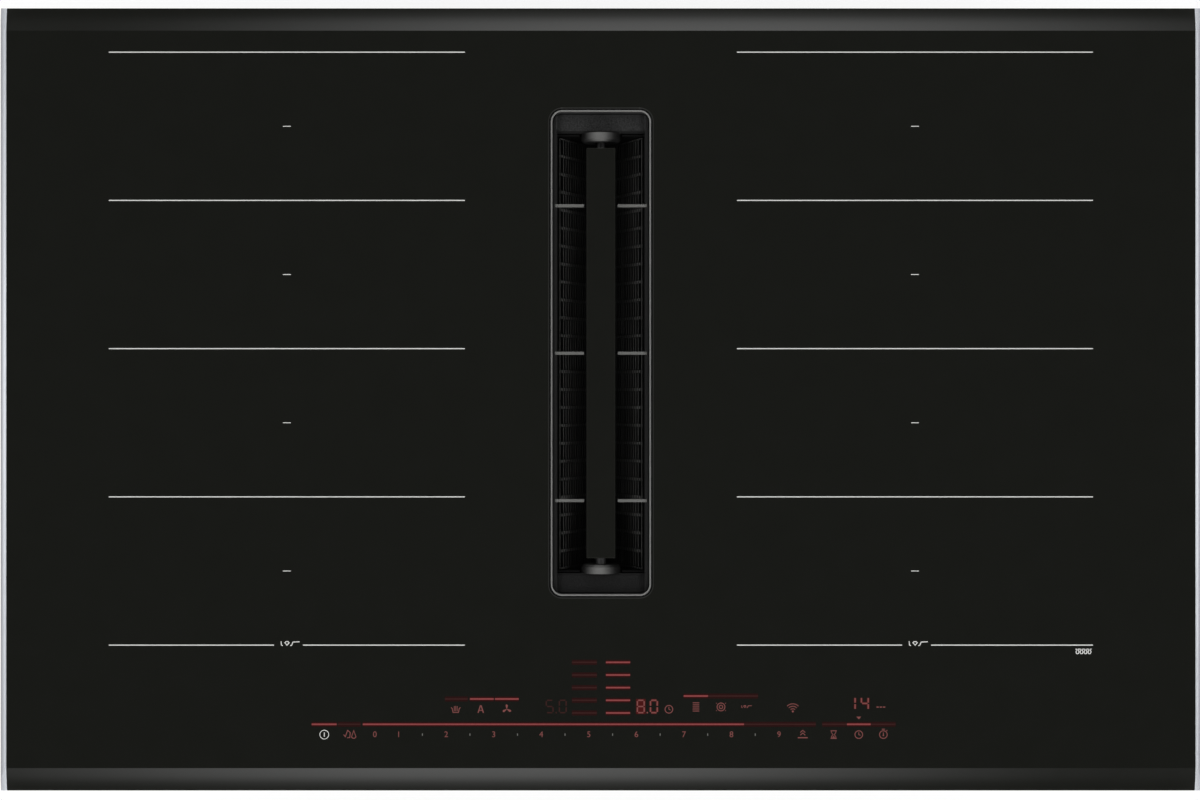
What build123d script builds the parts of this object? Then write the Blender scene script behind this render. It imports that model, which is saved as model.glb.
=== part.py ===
from build123d import *
import math
import os

# A venting induction cooktop: coils in a shallow casing under a glass plate, an extractor below it.
# Millimetres. +X is right, +Y is back, +Z is up. The origin is the centre of the base.

# Glass plate
plate_width = 816.0
plate_depth = 532.0
glass_thickness = 4.0
facet_width = 15.5
facet_drop = 2.0
facet_turn = 6.0
vent_width = 70.0
vent_length = 332.0
vent_radius = 8.7
vent_y = 31.5
vent_chamfer = 0.7

# Side trims
trim_width = 4.0
trim_bond = 0.2
trim_lip = 7.0
trim_lip_thickness = 1.2
trim_crown_width = 3.2
trim_crown_drop = 1.0

# Smallest inside corner of a bent or moulded ring
least_radius = 0.5

# Heights
body_depth = 217.0
housing_height = 160.0

# Worktop seal
seal_thickness = 2.0
seal_width = 10.0
seal_clearance = 1.0
seal_radius = 6.0

# Bonding frame and casing
casing_overhang_x = 27.0
casing_overhang_y = 26.0
casing_sheet = 1.2
casing_radius = 8.0
frame_sheet = 1.2
frame_flange = 8.0
frame_skirt = 16.0
frame_clearance = 0.2
exhaust_slot_width = 4.0
exhaust_slot_height = 24.0
exhaust_slot_pitch = 9.0
exhaust_slot_count = 14
exhaust_bank_x = 235.0
exhaust_slot_sill = 8.0

# Screws
screw_radius = 2.0
screw_head_radius = 3.6
screw_head_height = 2.0
screw_length = 6.0
screw_recess_radius = 1.2
screw_recess_depth = 1.0
screw_clearance = 0.1
casing_screw_x = 250.0
casing_screw_y = 60.0
frame_screw_drop = 8.0

# Mounting springs
spring_sheet = 1.0
spring_width = 26.0
spring_foot = 16.0
spring_skirt_gap = 3.0
spring_reach = 7.0
spring_knee = 0.7
spring_y = 170.0
spring_sill = 6.0

# Coils
coil_x = 213.5
coil_width = 236.0
coil_spacing = 10.8
coil_band = 33.0
coil_thickness = 5.0
coil_rows = 4
zone_front = 99.0
zone_margin = 4.2
insulation_thickness = 2.0
insulation_margin = 0.5
ferrite_width = 8.0
ferrite_thickness = 4.0
ferrite_pitch = 30.0
ferrite_count = 6
ferrite_inset = 5.0
carrier_sheet = 1.5
sensor_radius = 5.0
sensor_clearance = 0.5
post_radius = 4.0
post_inset = 12.0

# Power boards and cooling fans
board_thickness = 1.6
board_inset = 28.0
board_gap = 12.0
standoff_radius = 4.0
standoff_height = 6.0
standoff_inset = 8.0
capacitor_size = 26.0
capacitor_height = 22.0
capacitor_pitch = 44.0
capacitor_count = 6
choke_radius = 14.0
choke_height = 20.0
sink_width = 62.0
sink_length = 190.0
sink_base = 4.0
sink_height = 26.0
sink_fin = 1.6
sink_fins = 11
fan_size = 80.0
fan_height = 25.0
fan_wall = 2.0
fan_corner = 6.0
fan_y = -60.0
fan_wall_gap = 14.0
fan_strut = 4.0
fan_floor = 3.0
fan_hub_radius = 16.0
fan_pin_radius = 2.0
fan_pin_height = 18.0
fan_tip_gap = 1.5
fan_blades = 7
fan_blade_sheet = 1.6
fan_blade_pitch = 38.0
intake_slots = 14
intake_slot_width = 4.5
running_clearance = 0.05
lift_clearance = 1.0

# Controls
control_width = 430.0
control_depth = 54.0
control_edge_gap = 1.0
control_wall = 1.5
control_drop = 14.0
control_leg = 8.0
control_board_lift = 1.6
control_board_gap = 0.5
touch_radius = 4.0
touch_front = 10.0
touch_row_step = 18.0
slider_pitch = 32.3
slider_keys = 10
slider_x = -16.0
quick_key_pitch = 17.2
quick_key_x = (-81.5, 81.5)
timer_key_x = 175.0
power_key_x = -188.0
digit_width = 15.0
digit_depth = 11.0
digit_x = (-30.0, 31.5, 177.0)
light_guide_gap = 0.3

# Mains terminal
gland_inset = 50.0
terminal_width = 60.0
terminal_depth = 24.0
terminal_height = 18.0
terminal_poles = 5
terminal_hole_radius = 3.0
terminal_offset = 78.0
access_offset = 44.0
access_depth = 26.0
access_lap = 7.0
access_housing_gap = 7.8
access_wall_gap = 17.2
gland_bore_radius = 6.5
gland_neck_radius = 9.0
gland_flange_radius = 13.0
gland_flange = 3.0
gland_nose = 12.0
gland_nose_radius = 10.5
gland_nut = 5.0
gland_clearance = 0.1

# Inlet collar and shaft
collar_joint = 1.0
collar_wall = 1.0
collar_drop = 0.2
inlet_seal_thickness = 2.0
inlet_seal_gap = 0.4
inlet_seal_inset = 1.0
shaft_wall = 2.5
shaft_flange = 9.0
shaft_flange_thickness = 3.0
shaft_clearance = 0.4
window_length = 132.0
window_margin = 5.0
window_pitch = 150.0
spout_radius = 12.0
spout_wall = 2.0
spout_length = 9.0

# Inlet grille
insert_clearance = 0.6
rail_width = 2.6
rail_drop = 4.0
rail_height = 8.0
ledge_width = 13.0
ledge_drop = 11.0
ledge_height = 19.0
boss_radius = 13.5
boss_thickness = 6.0
boss_drop = 2.0
boss_edge = 1.6
pin_radius = 3.7
pin_seat = 6.0
pin_clearance = 0.05
stem_length = 4.9
bar_width = 19.7
bar_drop = 0.4
bar_height = 18.0
bar_edge = 0.8
rib_thickness = 2.0
rib_height = 6.0
rib_drop = 5.0
rib_pitch = 100.5
rib_count = 3
rib_seat = 1.6
rib_clearance = 0.1

# Grease filter and collecting tray
seat_gap = 0.3
filter_rail = 3.0
filter_rail_height = 4.0
filter_wall = 1.2
filter_flange = 2.0
filter_depth = 58.0
filter_spine = 8.0
filter_spine_height = 4.0
boss_notch_gap = 1.0
mesh_sheet = 0.8
mesh_end_gap = 1.0
mesh_row_pitch = 12.4
mesh_web = 1.9
mesh_column_pitch = 4.0
mesh_slot_width = 2.5
tray_width = 34.0
tray_wall = 1.6
tray_height = 34.0
tray_headroom = 4.0
tray_post = 3.0

# Ventilation housing
housing_width = 540.0
housing_depth = 436.0
housing_radius = 16.0
housing_wall = 3.0
housing_floor = 3.0
housing_rim = 5.0
housing_flange = 10.0
housing_flange_thickness = 4.0
housing_rib = 2.5
housing_rib_reach = 3.0
housing_rib_pitch = 60.0
housing_rib_rows = 3
floor_rib_pitch = 120.0
odour_length = 140.0
odour_width = 26.0
odour_gap = 0.5
odour_headroom = 3.0
partition_wall = 2.5
housing_screw_tip = 2.0

# Extractor fan
impeller_radius = 70.0
impeller_plate = 2.5
impeller_blades = 28
impeller_blade_length = 15.0
impeller_blade_sheet = 1.4
impeller_blade_turn = 32.0
impeller_height = 46.0
impeller_hub_radius = 13.0
impeller_gap = 4.0
shaft_radius = 4.0
shaft_fit = 0.02
motor_radius = 36.0
motor_height = 32.0
motor_foot_radius = 44.0
motor_foot = 4.0
scroll_gap = 6.0
scroll_step = 9.0
scroll_wall = 2.5
scroll_side_gap = 2.0
scroll_y = -60.0
scroll_neck = 40.0
scroll_neck_length = 100.0
scroll_inlet_radius = 52.0

# Outlet
duct_width = 222.0
duct_height = 89.0
duct_clearance = 1.0
duct_margin = 2.0
spigot_wall = 2.5
spigot_length = 22.0
spigot_radius = 6.0
outlet_plate = 3.0
outlet_lap = 10.0

# Overflow container
container_radius = 40.0
container_wall = 2.0
container_flange = 10.0
container_flange_thickness = 2.4
container_clearance = 1.0
container_rim_gap = 3.0
container_grip_width = 6.0

# Heights worked out from the sizes above
seat_z = body_depth
glass_z = seat_z + seal_thickness
top_z = glass_z + glass_thickness
frame_z = glass_z - frame_sheet
casing_floor_z = housing_height + casing_sheet
coil_z = glass_z - insulation_thickness - coil_thickness
ferrite_z = coil_z - ferrite_thickness
carrier_z = ferrite_z - carrier_sheet
board_z = casing_floor_z + standoff_height
shaft_top_z = glass_z - inlet_seal_thickness

# Plan sizes worked out from the sizes above
glass_width = plate_width - 2 * (trim_width + trim_bond)
casing_width = plate_width - 2 * casing_overhang_x
casing_depth = plate_depth - 2 * casing_overhang_y
skirt_width = casing_width + 2 * (frame_clearance + frame_sheet)
skirt_depth = casing_depth + 2 * (frame_clearance + frame_sheet)
seal_inset = trim_width + trim_bond + trim_lip + seal_clearance
zone_back_y = casing_depth / 2 - frame_flange + zone_margin
zone_front_y = zone_front - plate_depth / 2
coil_pitch = (zone_back_y - zone_front_y) / coil_rows
coil_depth = coil_pitch - coil_spacing
coil_y = [zone_front_y + (row + 0.5) * coil_pitch for row in range(coil_rows)]
coil_mid_y = (zone_back_y + zone_front_y) / 2
sheet_width = coil_width + 2 * insulation_margin
sheet_depth = coil_rows * coil_pitch - coil_spacing + 2 * insulation_margin
cooling_x = casing_width / 2 - casing_sheet - fan_wall_gap - fan_size / 2
access_inner_x = housing_width / 2 + housing_flange + access_housing_gap
access_outer_x = casing_width / 2 - access_wall_gap
access_width = access_outer_x - access_inner_x - 2 * access_lap
terminal_x = -(access_inner_x + access_outer_x) / 2
gland_y = casing_depth / 2 - gland_inset
access_y = gland_y - access_offset
terminal_y = gland_y - terminal_offset
collar_width = vent_width - 2 * collar_joint
collar_length = vent_length - 2 * collar_joint
collar_radius = vent_radius - collar_joint
bore_width = collar_width - 2 * collar_wall
bore_length = collar_length - 2 * collar_wall
bore_radius = collar_radius - collar_wall
shaft_width = bore_width + 2 * shaft_wall
shaft_length = bore_length + 2 * shaft_wall
insert_width = bore_width - 2 * insert_clearance
insert_length = bore_length - 2 * insert_clearance
insert_radius = bore_radius - insert_clearance
ledge_y = insert_length / 2 - ledge_width
bar_length = 2 * (ledge_y - boss_thickness - stem_length)
boss_z = top_z - boss_drop - boss_radius
rib_z = top_z - rib_drop - rib_height

# Levels of the lift-out pieces, worked out downwards from the grille
rail_z = top_z - rail_drop - rail_height
ledge_z = top_z - ledge_drop - ledge_height
filter_rail_z = rail_z - seat_gap - filter_rail_height
filter_flange_z = ledge_z - seat_gap - filter_flange
spine_z = filter_rail_z - filter_depth - filter_spine_height
filter_end_y = ledge_y - insert_clearance
tray_top_z = spine_z - tray_headroom
tray_z = tray_top_z - tray_height
shaft_floor_z = tray_z - seat_gap
shaft_bottom_z = shaft_floor_z - shaft_wall
spout_z = shaft_bottom_z - spout_length

# Places in the ventilation housing
floor_z = housing_rim + housing_floor
odour_x = shaft_width / 2 + odour_gap + odour_width / 2
container_flange_z = housing_rim - seat_gap - container_flange_thickness
container_top_z = spout_z - container_rim_gap
scroll_start = impeller_radius + scroll_gap
scroll_reach = scroll_start + 4 * scroll_step
scroll_x = housing_width / 2 - housing_wall - scroll_side_gap - scroll_wall - scroll_reach
outlet_x = housing_width / 2 - housing_radius - duct_margin - duct_width / 2
outlet_z = floor_z + scroll_wall + duct_height / 2
scroll_top_z = floor_z + 2 * scroll_wall + duct_height
motor_z = floor_z + scroll_wall
impeller_z = motor_z + motor_foot + motor_height + impeller_gap
housing_screw_length = housing_flange_thickness + casing_sheet + housing_screw_tip

SIDES = (("left", -1), ("right", 1))
UP = (Align.CENTER, Align.CENTER, Align.MIN)


# Basic shapes
def block(x0, x1, y0, y1, z0, z1):
    """A box between two opposite corners."""
    middle = Pos((x0 + x1) / 2, (y0 + y1) / 2, (z0 + z1) / 2)
    return middle * Box(x1 - x0, y1 - y0, z1 - z0)


def rod(radius, x, y, z0, z1):
    """An upright cylinder."""
    return Pos(x, y, z0) * Cylinder(radius, z1 - z0, align=UP)


def rod_y(radius, x, z, y0, y1):
    """A cylinder lying along Y."""
    return Pos(x, (y0 + y1) / 2, z) * Rot(90, 0, 0) * Cylinder(radius, abs(y1 - y0))


def slab(width, depth, radius, x, y, z0, z1):
    """A rounded rectangle raised between two heights."""
    return extrude(Pos(x, y, z0) * RectangleRounded(width, depth, radius), z1 - z0)


def band(width, depth, radius, wall, x, y, z0, z1):
    """A rounded rectangular ring, measured over its outside."""
    inner_radius = max(radius - wall, least_radius)
    inner = slab(width - 2 * wall, depth - 2 * wall, inner_radius, x, y, z0, z1)
    return slab(width, depth, radius, x, y, z0, z1) - inner


def across(points, y0, y1):
    """An outline of X and Z points, drawn out along Y."""
    face = Plane.XZ * Polygon(*points, align=None)
    return Pos(0, (y0 + y1) / 2, 0) * extrude(face, abs(y1 - y0) / 2, both=True)


def screw(length):
    """A pan-head screw with its head above the origin."""
    head = Cylinder(screw_head_radius, screw_head_height, align=UP)
    recess = Pos(0, 0, screw_head_height - screw_recess_depth)
    recess = recess * Cylinder(screw_recess_radius, screw_recess_depth, align=UP)
    return head + rod(screw_radius, 0, 0, -length, 0) - recess


# Plate and trims
def plate_profile(bottom_z):
    """The plate's side outline, with a gently rounded facet at the front and the back."""
    half = plate_depth / 2
    flat = half - facet_width
    edge_z = top_z - facet_drop
    chord = math.hypot(facet_width, facet_drop)
    sag = chord / 2 * math.tan(math.radians(facet_turn) / 4)
    mid_y = half - facet_width / 2 + sag * facet_drop / chord
    mid_z = top_z - facet_drop / 2 + sag * facet_width / chord
    edges = [
        Line((-flat, top_z), (flat, top_z)),
        ThreePointArc((flat, top_z), (mid_y, mid_z), (half, edge_z)),
        Line((half, edge_z), (half, bottom_z)),
        Line((half, bottom_z), (-half, bottom_z)),
        Line((-half, bottom_z), (-half, edge_z)),
        ThreePointArc((-half, edge_z), (-mid_y, mid_z), (-flat, top_z)),
    ]
    return Plane.YZ * make_face(edges)


def make_glass():
    plate = extrude(plate_profile(glass_z), glass_width / 2, both=True)
    plate -= slab(vent_width, vent_length, vent_radius, 0, vent_y, glass_z, top_z)
    flare = loft([
        Pos(0, vent_y, top_z - vent_chamfer) * RectangleRounded(vent_width, vent_length, vent_radius),
        Pos(0, vent_y, top_z) * RectangleRounded(
            vent_width + 2 * vent_chamfer, vent_length + 2 * vent_chamfer, vent_radius + vent_chamfer
        ),
    ])
    return plate - flare


def make_trim(sign):
    outer = plate_width / 2
    inner = outer - trim_width
    lip = inner - trim_bond - trim_lip
    lip_z = glass_z - trim_lip_thickness
    crown = outer - trim_crown_width
    crown_z = top_z - trim_crown_drop
    corners = [(outer, crown_z), (outer, lip_z), (lip, lip_z), (lip, glass_z)]
    corners += [(inner, glass_z), (inner, top_z)]
    outline = [TangentArc((sign * crown, top_z), (sign * outer, crown_z), tangent=(sign, 0))]
    outline += [Polyline(*[(sign * x, z) for x, z in corners], (sign * crown, top_z))]
    bar = extrude(Plane.XZ * make_face(outline), plate_depth / 2, both=True)
    return bar & extrude(plate_profile(lip_z), plate_width / 2, both=True)


def make_seal():
    width = plate_width - 2 * seal_inset
    depth = plate_depth - 2 * seal_inset
    return band(width, depth, seal_radius, seal_width, 0, 0, seat_z, glass_z)


# Frame and casing
def frame_screw_places():
    """Where the frame is screwed to the casing, with the turn that points each head outwards."""
    x = skirt_width / 2
    y = skirt_depth / 2
    z = frame_z - frame_screw_drop
    places = []
    for sign in (-1, 1):
        for along in (-casing_screw_y, casing_screw_y):
            places.append(Pos(sign * x, along, z) * Rot(0, sign * 90, 0))
        for along in (-casing_screw_x, casing_screw_x):
            places.append(Pos(along, sign * y, z) * Rot(-sign * 90, 0, 0))
    return places


def spring_screw_places():
    z = casing_floor_z + spring_sill + spring_foot / 2
    x = casing_width / 2 + spring_sheet
    return [
        Pos(sign * x, along, z) * Rot(0, sign * 90, 0)
        for sign in (-1, 1)
        for along in (-spring_y, spring_y)
    ]


def housing_screw_places():
    x = housing_width / 2 + housing_flange / 2
    y = housing_depth / 2 + housing_flange / 2
    between_ribs = [step * housing_rib_pitch for step in (-2.5, -0.5, 0.5, 2.5)]
    spots = [(sign * x, along) for sign in (-1, 1) for along in between_ribs]
    spots += [(along, sign * y) for sign in (-1, 1) for along in between_ribs]
    z = housing_height - housing_flange_thickness
    return [Pos(px, py, z) * Rot(180, 0, 0) for px, py in spots]


def outlet_screw_places():
    x = duct_width / 2 + outlet_lap / 2
    z = duct_height / 2 + outlet_lap / 2
    y = housing_depth / 2 + outlet_plate
    return [
        Pos(outlet_x + sx * x, y, outlet_z + sz * z) * Rot(-90, 0, 0)
        for sx in (-1, 1)
        for sz in (-1, 1)
    ]


def short_screw_places():
    places = frame_screw_places() + spring_screw_places()
    return places + cover_screw_places() + outlet_screw_places()


def drilled(shape, places):
    """The shape with a screw hole at each place."""
    hole = rod(screw_radius + screw_clearance, 0, 0, -2 * screw_length, screw_length)
    return shape - [place * hole for place in places]


def make_bonding_frame():
    flange = band(
        skirt_width, skirt_depth, casing_radius, frame_flange + frame_clearance + frame_sheet,
        0, 0, frame_z, glass_z,
    )
    skirt = band(
        skirt_width, skirt_depth, casing_radius, frame_sheet, 0, 0, frame_z - frame_skirt, frame_z
    )
    return drilled(flange + skirt, frame_screw_places())


def make_casing():
    """An open sheet-steel tray with air slots, a well for the shaft and openings for the mains cable."""
    radius = casing_radius - frame_clearance - frame_sheet
    tray = slab(casing_width, casing_depth, radius, 0, 0, housing_height, frame_z)
    tray -= slab(
        casing_width - 2 * casing_sheet, casing_depth - 2 * casing_sheet, radius - casing_sheet,
        0, 0, casing_floor_z, frame_z,
    )
    tray += [rod(standoff_radius, x, y, casing_floor_z, board_z) for x, y in standoff_spots()]
    places = frame_screw_places() + spring_screw_places() + housing_screw_places()
    tray = drilled(tray, places + cover_screw_places())
    return tray - intake_cuts() - exhaust_cuts() - casing_openings()


def intake_cuts():
    """Rings of slots in the casing floor, under the cooling fans."""
    length = fan_size / 2 - fan_wall - fan_hub_radius
    slot = extrude(SlotOverall(length, intake_slot_width), casing_sheet)
    slot = Pos(fan_hub_radius + length / 2, 0, housing_height) * slot
    return [
        Pos(sign * cooling_x, fan_y, 0) * Rot(0, 0, 360 * turn / intake_slots) * slot
        for _, sign in SIDES
        for turn in range(intake_slots)
    ]


def exhaust_cuts():
    """Two banks of upright slots in the casing's back wall."""
    cuts = []
    half = exhaust_slot_width / 2
    y = casing_depth / 2
    z = casing_floor_z + exhaust_slot_sill
    for _, sign in SIDES:
        for step in range(exhaust_slot_count):
            x = sign * exhaust_bank_x + (step - (exhaust_slot_count - 1) / 2) * exhaust_slot_pitch
            cuts.append(block(x - half, x + half, y - casing_sheet, y, z, z + exhaust_slot_height))
    return cuts


def casing_openings():
    """Floor openings for the shaft, the terminal access and the cable gland."""
    well = slab(
        shaft_width + 2 * shaft_clearance, shaft_length + 2 * shaft_clearance, bore_radius + shaft_wall,
        0, vent_y, housing_height, casing_floor_z,
    )
    access = block(
        terminal_x - access_width / 2, terminal_x + access_width / 2,
        access_y - access_depth / 2, access_y + access_depth / 2, housing_height, casing_floor_z,
    )
    neck = rod(
        gland_neck_radius + gland_clearance, terminal_x, gland_y,
        housing_height, casing_floor_z,
    )
    return [well, access, neck]


def make_mounting_spring(sign, y):
    """A bent leaf: a flat foot on the casing wall and a bow that presses on the worktop's cut-out."""
    wall = casing_width / 2
    z0 = casing_floor_z + spring_sill
    z1 = z0 + spring_foot
    z2 = frame_z - frame_skirt - spring_skirt_gap
    outer = [
        (wall + spring_sheet, z0),
        (wall + spring_sheet, z1),
        (wall + spring_reach, z1 + spring_knee * (z2 - z1)),
        (wall + 2 * spring_sheet, z2),
    ]
    inner = [(x - spring_sheet, z) for x, z in reversed(outer)]
    points = [(sign * x, z) for x, z in outer + inner]
    leaf = across(points, y - spring_width / 2, y + spring_width / 2)
    return drilled(leaf, spring_screw_places())


# Coils
def make_coil(sign, y):
    ring = SlotOverall(coil_width, coil_depth)
    ring -= SlotOverall(coil_width - 2 * coil_band, coil_depth - 2 * coil_band)
    return extrude(Pos(sign * coil_x, y, coil_z) * ring, coil_thickness)


def make_sheet(sign, z0, z1, hole_radius):
    x = sign * coil_x
    sheet = block(
        x - sheet_width / 2, x + sheet_width / 2,
        coil_mid_y - sheet_depth / 2, coil_mid_y + sheet_depth / 2, z0, z1,
    )
    for y in coil_y:
        sheet -= rod(hole_radius, x, y, z0, z1)
    return sheet


def make_ferrites(sign):
    bars = []
    half = coil_depth / 2 - ferrite_inset
    for y in coil_y:
        for step in range(ferrite_count):
            x = sign * coil_x + (step - (ferrite_count - 1) / 2) * ferrite_pitch
            bars.append(block(
                x - ferrite_width / 2, x + ferrite_width / 2, y - half, y + half, ferrite_z, coil_z
            ))
    return bars


def make_sensors():
    return [
        rod(sensor_radius, sign * coil_x, y, carrier_z + carrier_sheet, glass_z)
        for _, sign in SIDES
        for y in coil_y
    ]


def make_posts():
    dx = sheet_width / 2 - post_inset
    dy = sheet_depth / 2 - post_inset
    return [
        rod(post_radius, sign * coil_x + sx * dx, coil_mid_y + sy * dy, casing_floor_z, carrier_z)
        for _, sign in SIDES
        for sx in (-1, 1)
        for sy in (-1, 1)
    ]


# Power electronics
def board_box():
    """A board's plan on the right side: inner and outer X, front and back Y."""
    inner = shaft_width / 2 + shaft_clearance + board_gap
    outer = cooling_x - fan_size / 2 - board_gap
    front = coil_mid_y - sheet_depth / 2 + board_inset
    back = coil_mid_y + sheet_depth / 2 - board_inset
    return inner, outer, front, back


def standoff_spots():
    inner, outer, front, back = board_box()
    return [
        (sign * x, y)
        for _, sign in SIDES
        for x in (inner + standoff_inset, outer - standoff_inset)
        for y in (front + standoff_inset, back - standoff_inset)
    ]


def make_board(sign):
    inner, outer, front, back = board_box()
    x0, x1 = sorted((sign * inner, sign * outer))
    top = board_z + board_thickness
    board = block(x0, x1, front, back, board_z, top)
    middle = (front + back) / 2
    for step in range(capacitor_count):
        x = sign * (inner + capacitor_size)
        y = middle + (step - (capacitor_count - 1) / 2) * capacitor_pitch
        half = capacitor_size / 2
        board += block(x - half, x + half, y - half, y + half, top, top + capacitor_height)
    for y in (front + 2 * choke_radius, back - 2 * choke_radius):
        board += rod(choke_radius, sign * (outer - 2 * choke_radius), y, top, top + choke_height)
    return board


def make_heat_sink(sign):
    inner, _, front, back = board_box()
    x = sign * (inner + 2 * capacitor_size + sink_width / 2)
    y = (front + back) / 2
    z = board_z + board_thickness
    half = sink_width / 2
    sink = block(x - half, x + half, y - sink_length / 2, y + sink_length / 2, z, z + sink_base)
    pitch = (sink_width - sink_fin) / (sink_fins - 1)
    for step in range(sink_fins):
        x0 = x - half + step * pitch
        sink += block(
            x0, x0 + sink_fin, y - sink_length / 2, y + sink_length / 2, z + sink_base, z + sink_height
        )
    return sink


def make_fan_frame(sign):
    bore = fan_size / 2 - fan_wall
    frame = extrude(RectangleRounded(fan_size, fan_size, fan_corner), fan_height)
    frame -= rod(bore, 0, 0, 0, fan_height)
    for turn in (0, 90):
        strut = Box(fan_size - fan_wall, fan_strut, fan_floor, align=UP)
        frame += Rot(0, 0, turn + 45) * strut & rod(fan_size / 2, 0, 0, 0, fan_floor)
    frame += rod(fan_hub_radius, 0, 0, 0, fan_floor)
    frame += rod(fan_pin_radius, 0, 0, fan_floor, fan_pin_height)
    return Pos(sign * cooling_x, fan_y, casing_floor_z) * frame


def make_fan_wheel(sign):
    tip = fan_size / 2 - fan_wall - fan_tip_gap
    z0 = fan_floor + lift_clearance
    z1 = fan_height - lift_clearance
    wheel = rod(fan_hub_radius, 0, 0, z0, z1)
    blade_depth = (z1 - z0) / math.cos(math.radians(fan_blade_pitch))
    blade = Rot(fan_blade_pitch, 0, 0) * Box(tip, fan_blade_sheet, blade_depth)
    blade = Pos(tip / 2, 0, (z0 + z1) / 2) * blade
    room = rod(tip, 0, 0, z0, z1)
    for turn in range(fan_blades):
        wheel += Rot(0, 0, 360 * turn / fan_blades) * blade & room
    wheel -= rod(fan_pin_radius + running_clearance, 0, 0, z0, fan_pin_height + lift_clearance)
    return Pos(sign * cooling_x, fan_y, casing_floor_z) * wheel


# Controls
def control_box():
    """The control carrier's front and back Y."""
    front = -(casing_depth / 2 - frame_flange - control_edge_gap)
    return front, front + control_depth


def make_control_carrier():
    front, back = control_box()
    half = control_width / 2
    z0 = glass_z - control_drop
    z1 = glass_z - control_edge_gap
    tray = block(-half, half, front, back, z0 - control_wall, z1)
    inner = half - control_wall
    tray -= block(-inner, inner, front + control_wall, back - control_wall, z0, z1)
    for y in (front + control_wall, back - control_wall - control_leg):
        tray += block(-inner, inner, y, y + control_leg, z0, z0 + control_board_lift)
    for x in (-half, half - control_leg):
        for y in (front, back - control_leg):
            tray += block(x, x + control_leg, y, y + control_leg, casing_floor_z, z0 - control_wall)
    return tray


def make_control_board():
    front, back = control_box()
    half = control_width / 2 - control_wall - control_board_gap
    inset = control_wall + control_board_gap
    z = glass_z - control_drop + control_board_lift
    return block(-half, half, front + inset, back - inset, z, z + board_thickness)


def touch_spots():
    """Centres of the touch keys: a slider row in front, quick keys behind it."""
    front, _ = control_box()
    row = front + touch_front
    spots = [(slider_x + (k - (slider_keys - 1) / 2) * slider_pitch, row) for k in range(slider_keys)]
    spots += [(timer_key_x + (k - 1) * quick_key_pitch, row) for k in range(3)]
    spots.append((power_key_x, row))
    for middle in quick_key_x:
        spots += [(middle + (k - 1) * quick_key_pitch, row + touch_row_step) for k in range(3)]
    return spots


def make_touch_springs():
    z = glass_z - control_drop + control_board_lift + board_thickness
    return [rod(touch_radius, x, y, z, glass_z) for x, y in touch_spots()]


def make_light_guides():
    front, _ = control_box()
    y = front + touch_front + touch_row_step
    z = glass_z - control_drop + control_board_lift + board_thickness
    return [
        block(
            x - digit_width / 2, x + digit_width / 2, y - digit_depth / 2, y + digit_depth / 2,
            z, glass_z - light_guide_gap,
        )
        for x in digit_x
    ]


# Mains terminal
def make_terminal_block():
    body = block(
        terminal_x - terminal_width / 2, terminal_x + terminal_width / 2,
        terminal_y - terminal_depth / 2, terminal_y + terminal_depth / 2,
        casing_floor_z, casing_floor_z + terminal_height,
    )
    pitch = terminal_width / terminal_poles
    for pole in range(terminal_poles):
        x = terminal_x + (pole - (terminal_poles - 1) / 2) * pitch
        body -= rod_y(
            terminal_hole_radius, x, casing_floor_z + terminal_height / 2,
            terminal_y, terminal_y + terminal_depth / 2,
        )
    return body


def cover_screw_places():
    x = access_width / 2 + access_lap / 2
    return [
        Pos(terminal_x + sign * x, access_y, housing_height - casing_sheet) * Rot(180, 0, 0)
        for sign in (-1, 1)
    ]


def make_terminal_cover():
    cover = slab(
        access_width + 2 * access_lap, access_depth + 2 * access_lap, access_lap / 2,
        terminal_x, access_y, housing_height - casing_sheet, housing_height,
    )
    return drilled(cover, cover_screw_places())


def make_gland():
    """A cable gland in the casing floor, its nut inside and its nose below."""
    z0 = housing_height
    gland = rod(gland_flange_radius, 0, 0, z0 - gland_flange, z0)
    gland += rod(gland_nose_radius, 0, 0, z0 - gland_flange - gland_nose, z0 - gland_flange)
    gland += rod(gland_neck_radius, 0, 0, z0, casing_floor_z)
    gland += rod(gland_flange_radius, 0, 0, casing_floor_z, casing_floor_z + gland_nut)
    gland -= rod(gland_bore_radius, 0, 0, z0 - gland_flange - gland_nose, casing_floor_z + gland_nut)
    return Pos(terminal_x, gland_y, 0) * gland


# Inlet
def make_collar():
    return band(
        collar_width, collar_length, collar_radius, collar_wall, 0, vent_y, shaft_top_z, top_z - collar_drop
    )


def make_inlet_seal():
    width = shaft_width + 2 * (shaft_flange - inlet_seal_inset)
    length = shaft_length + 2 * (shaft_flange - inlet_seal_inset)
    wall = (width - collar_width) / 2 - inlet_seal_gap
    return band(width, length, collar_radius + inlet_seal_gap + wall, wall, 0, vent_y, shaft_top_z, glass_z)


def make_shaft():
    """The well under the cut-out: a flange at the top, windows to the odour filters, a drain in the floor."""
    flange_radius = bore_radius + shaft_wall + shaft_flange
    well = slab(
        shaft_width + 2 * shaft_flange, shaft_length + 2 * shaft_flange, flange_radius, 0, vent_y,
        shaft_top_z - shaft_flange_thickness, shaft_top_z,
    )
    well += slab(
        shaft_width, shaft_length, bore_radius + shaft_wall, 0, vent_y, shaft_bottom_z, shaft_top_z
    )
    well -= slab(bore_width, bore_length, bore_radius, 0, vent_y, shaft_floor_z, shaft_top_z)
    for sign in (-1, 1):
        y = vent_y + sign * window_pitch / 2
        well -= block(
            -shaft_width, shaft_width, y - window_length / 2, y + window_length / 2,
            shaft_floor_z + window_margin, housing_height - window_margin,
        )
    well += rod(spout_radius, 0, vent_y, spout_z, shaft_bottom_z)
    return well - rod(spout_radius - spout_wall, 0, vent_y, spout_z, shaft_floor_z)


# Grille
def rib_spots():
    return [vent_y + (step - (rib_count - 1) / 2) * rib_pitch for step in range(rib_count)]


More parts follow.
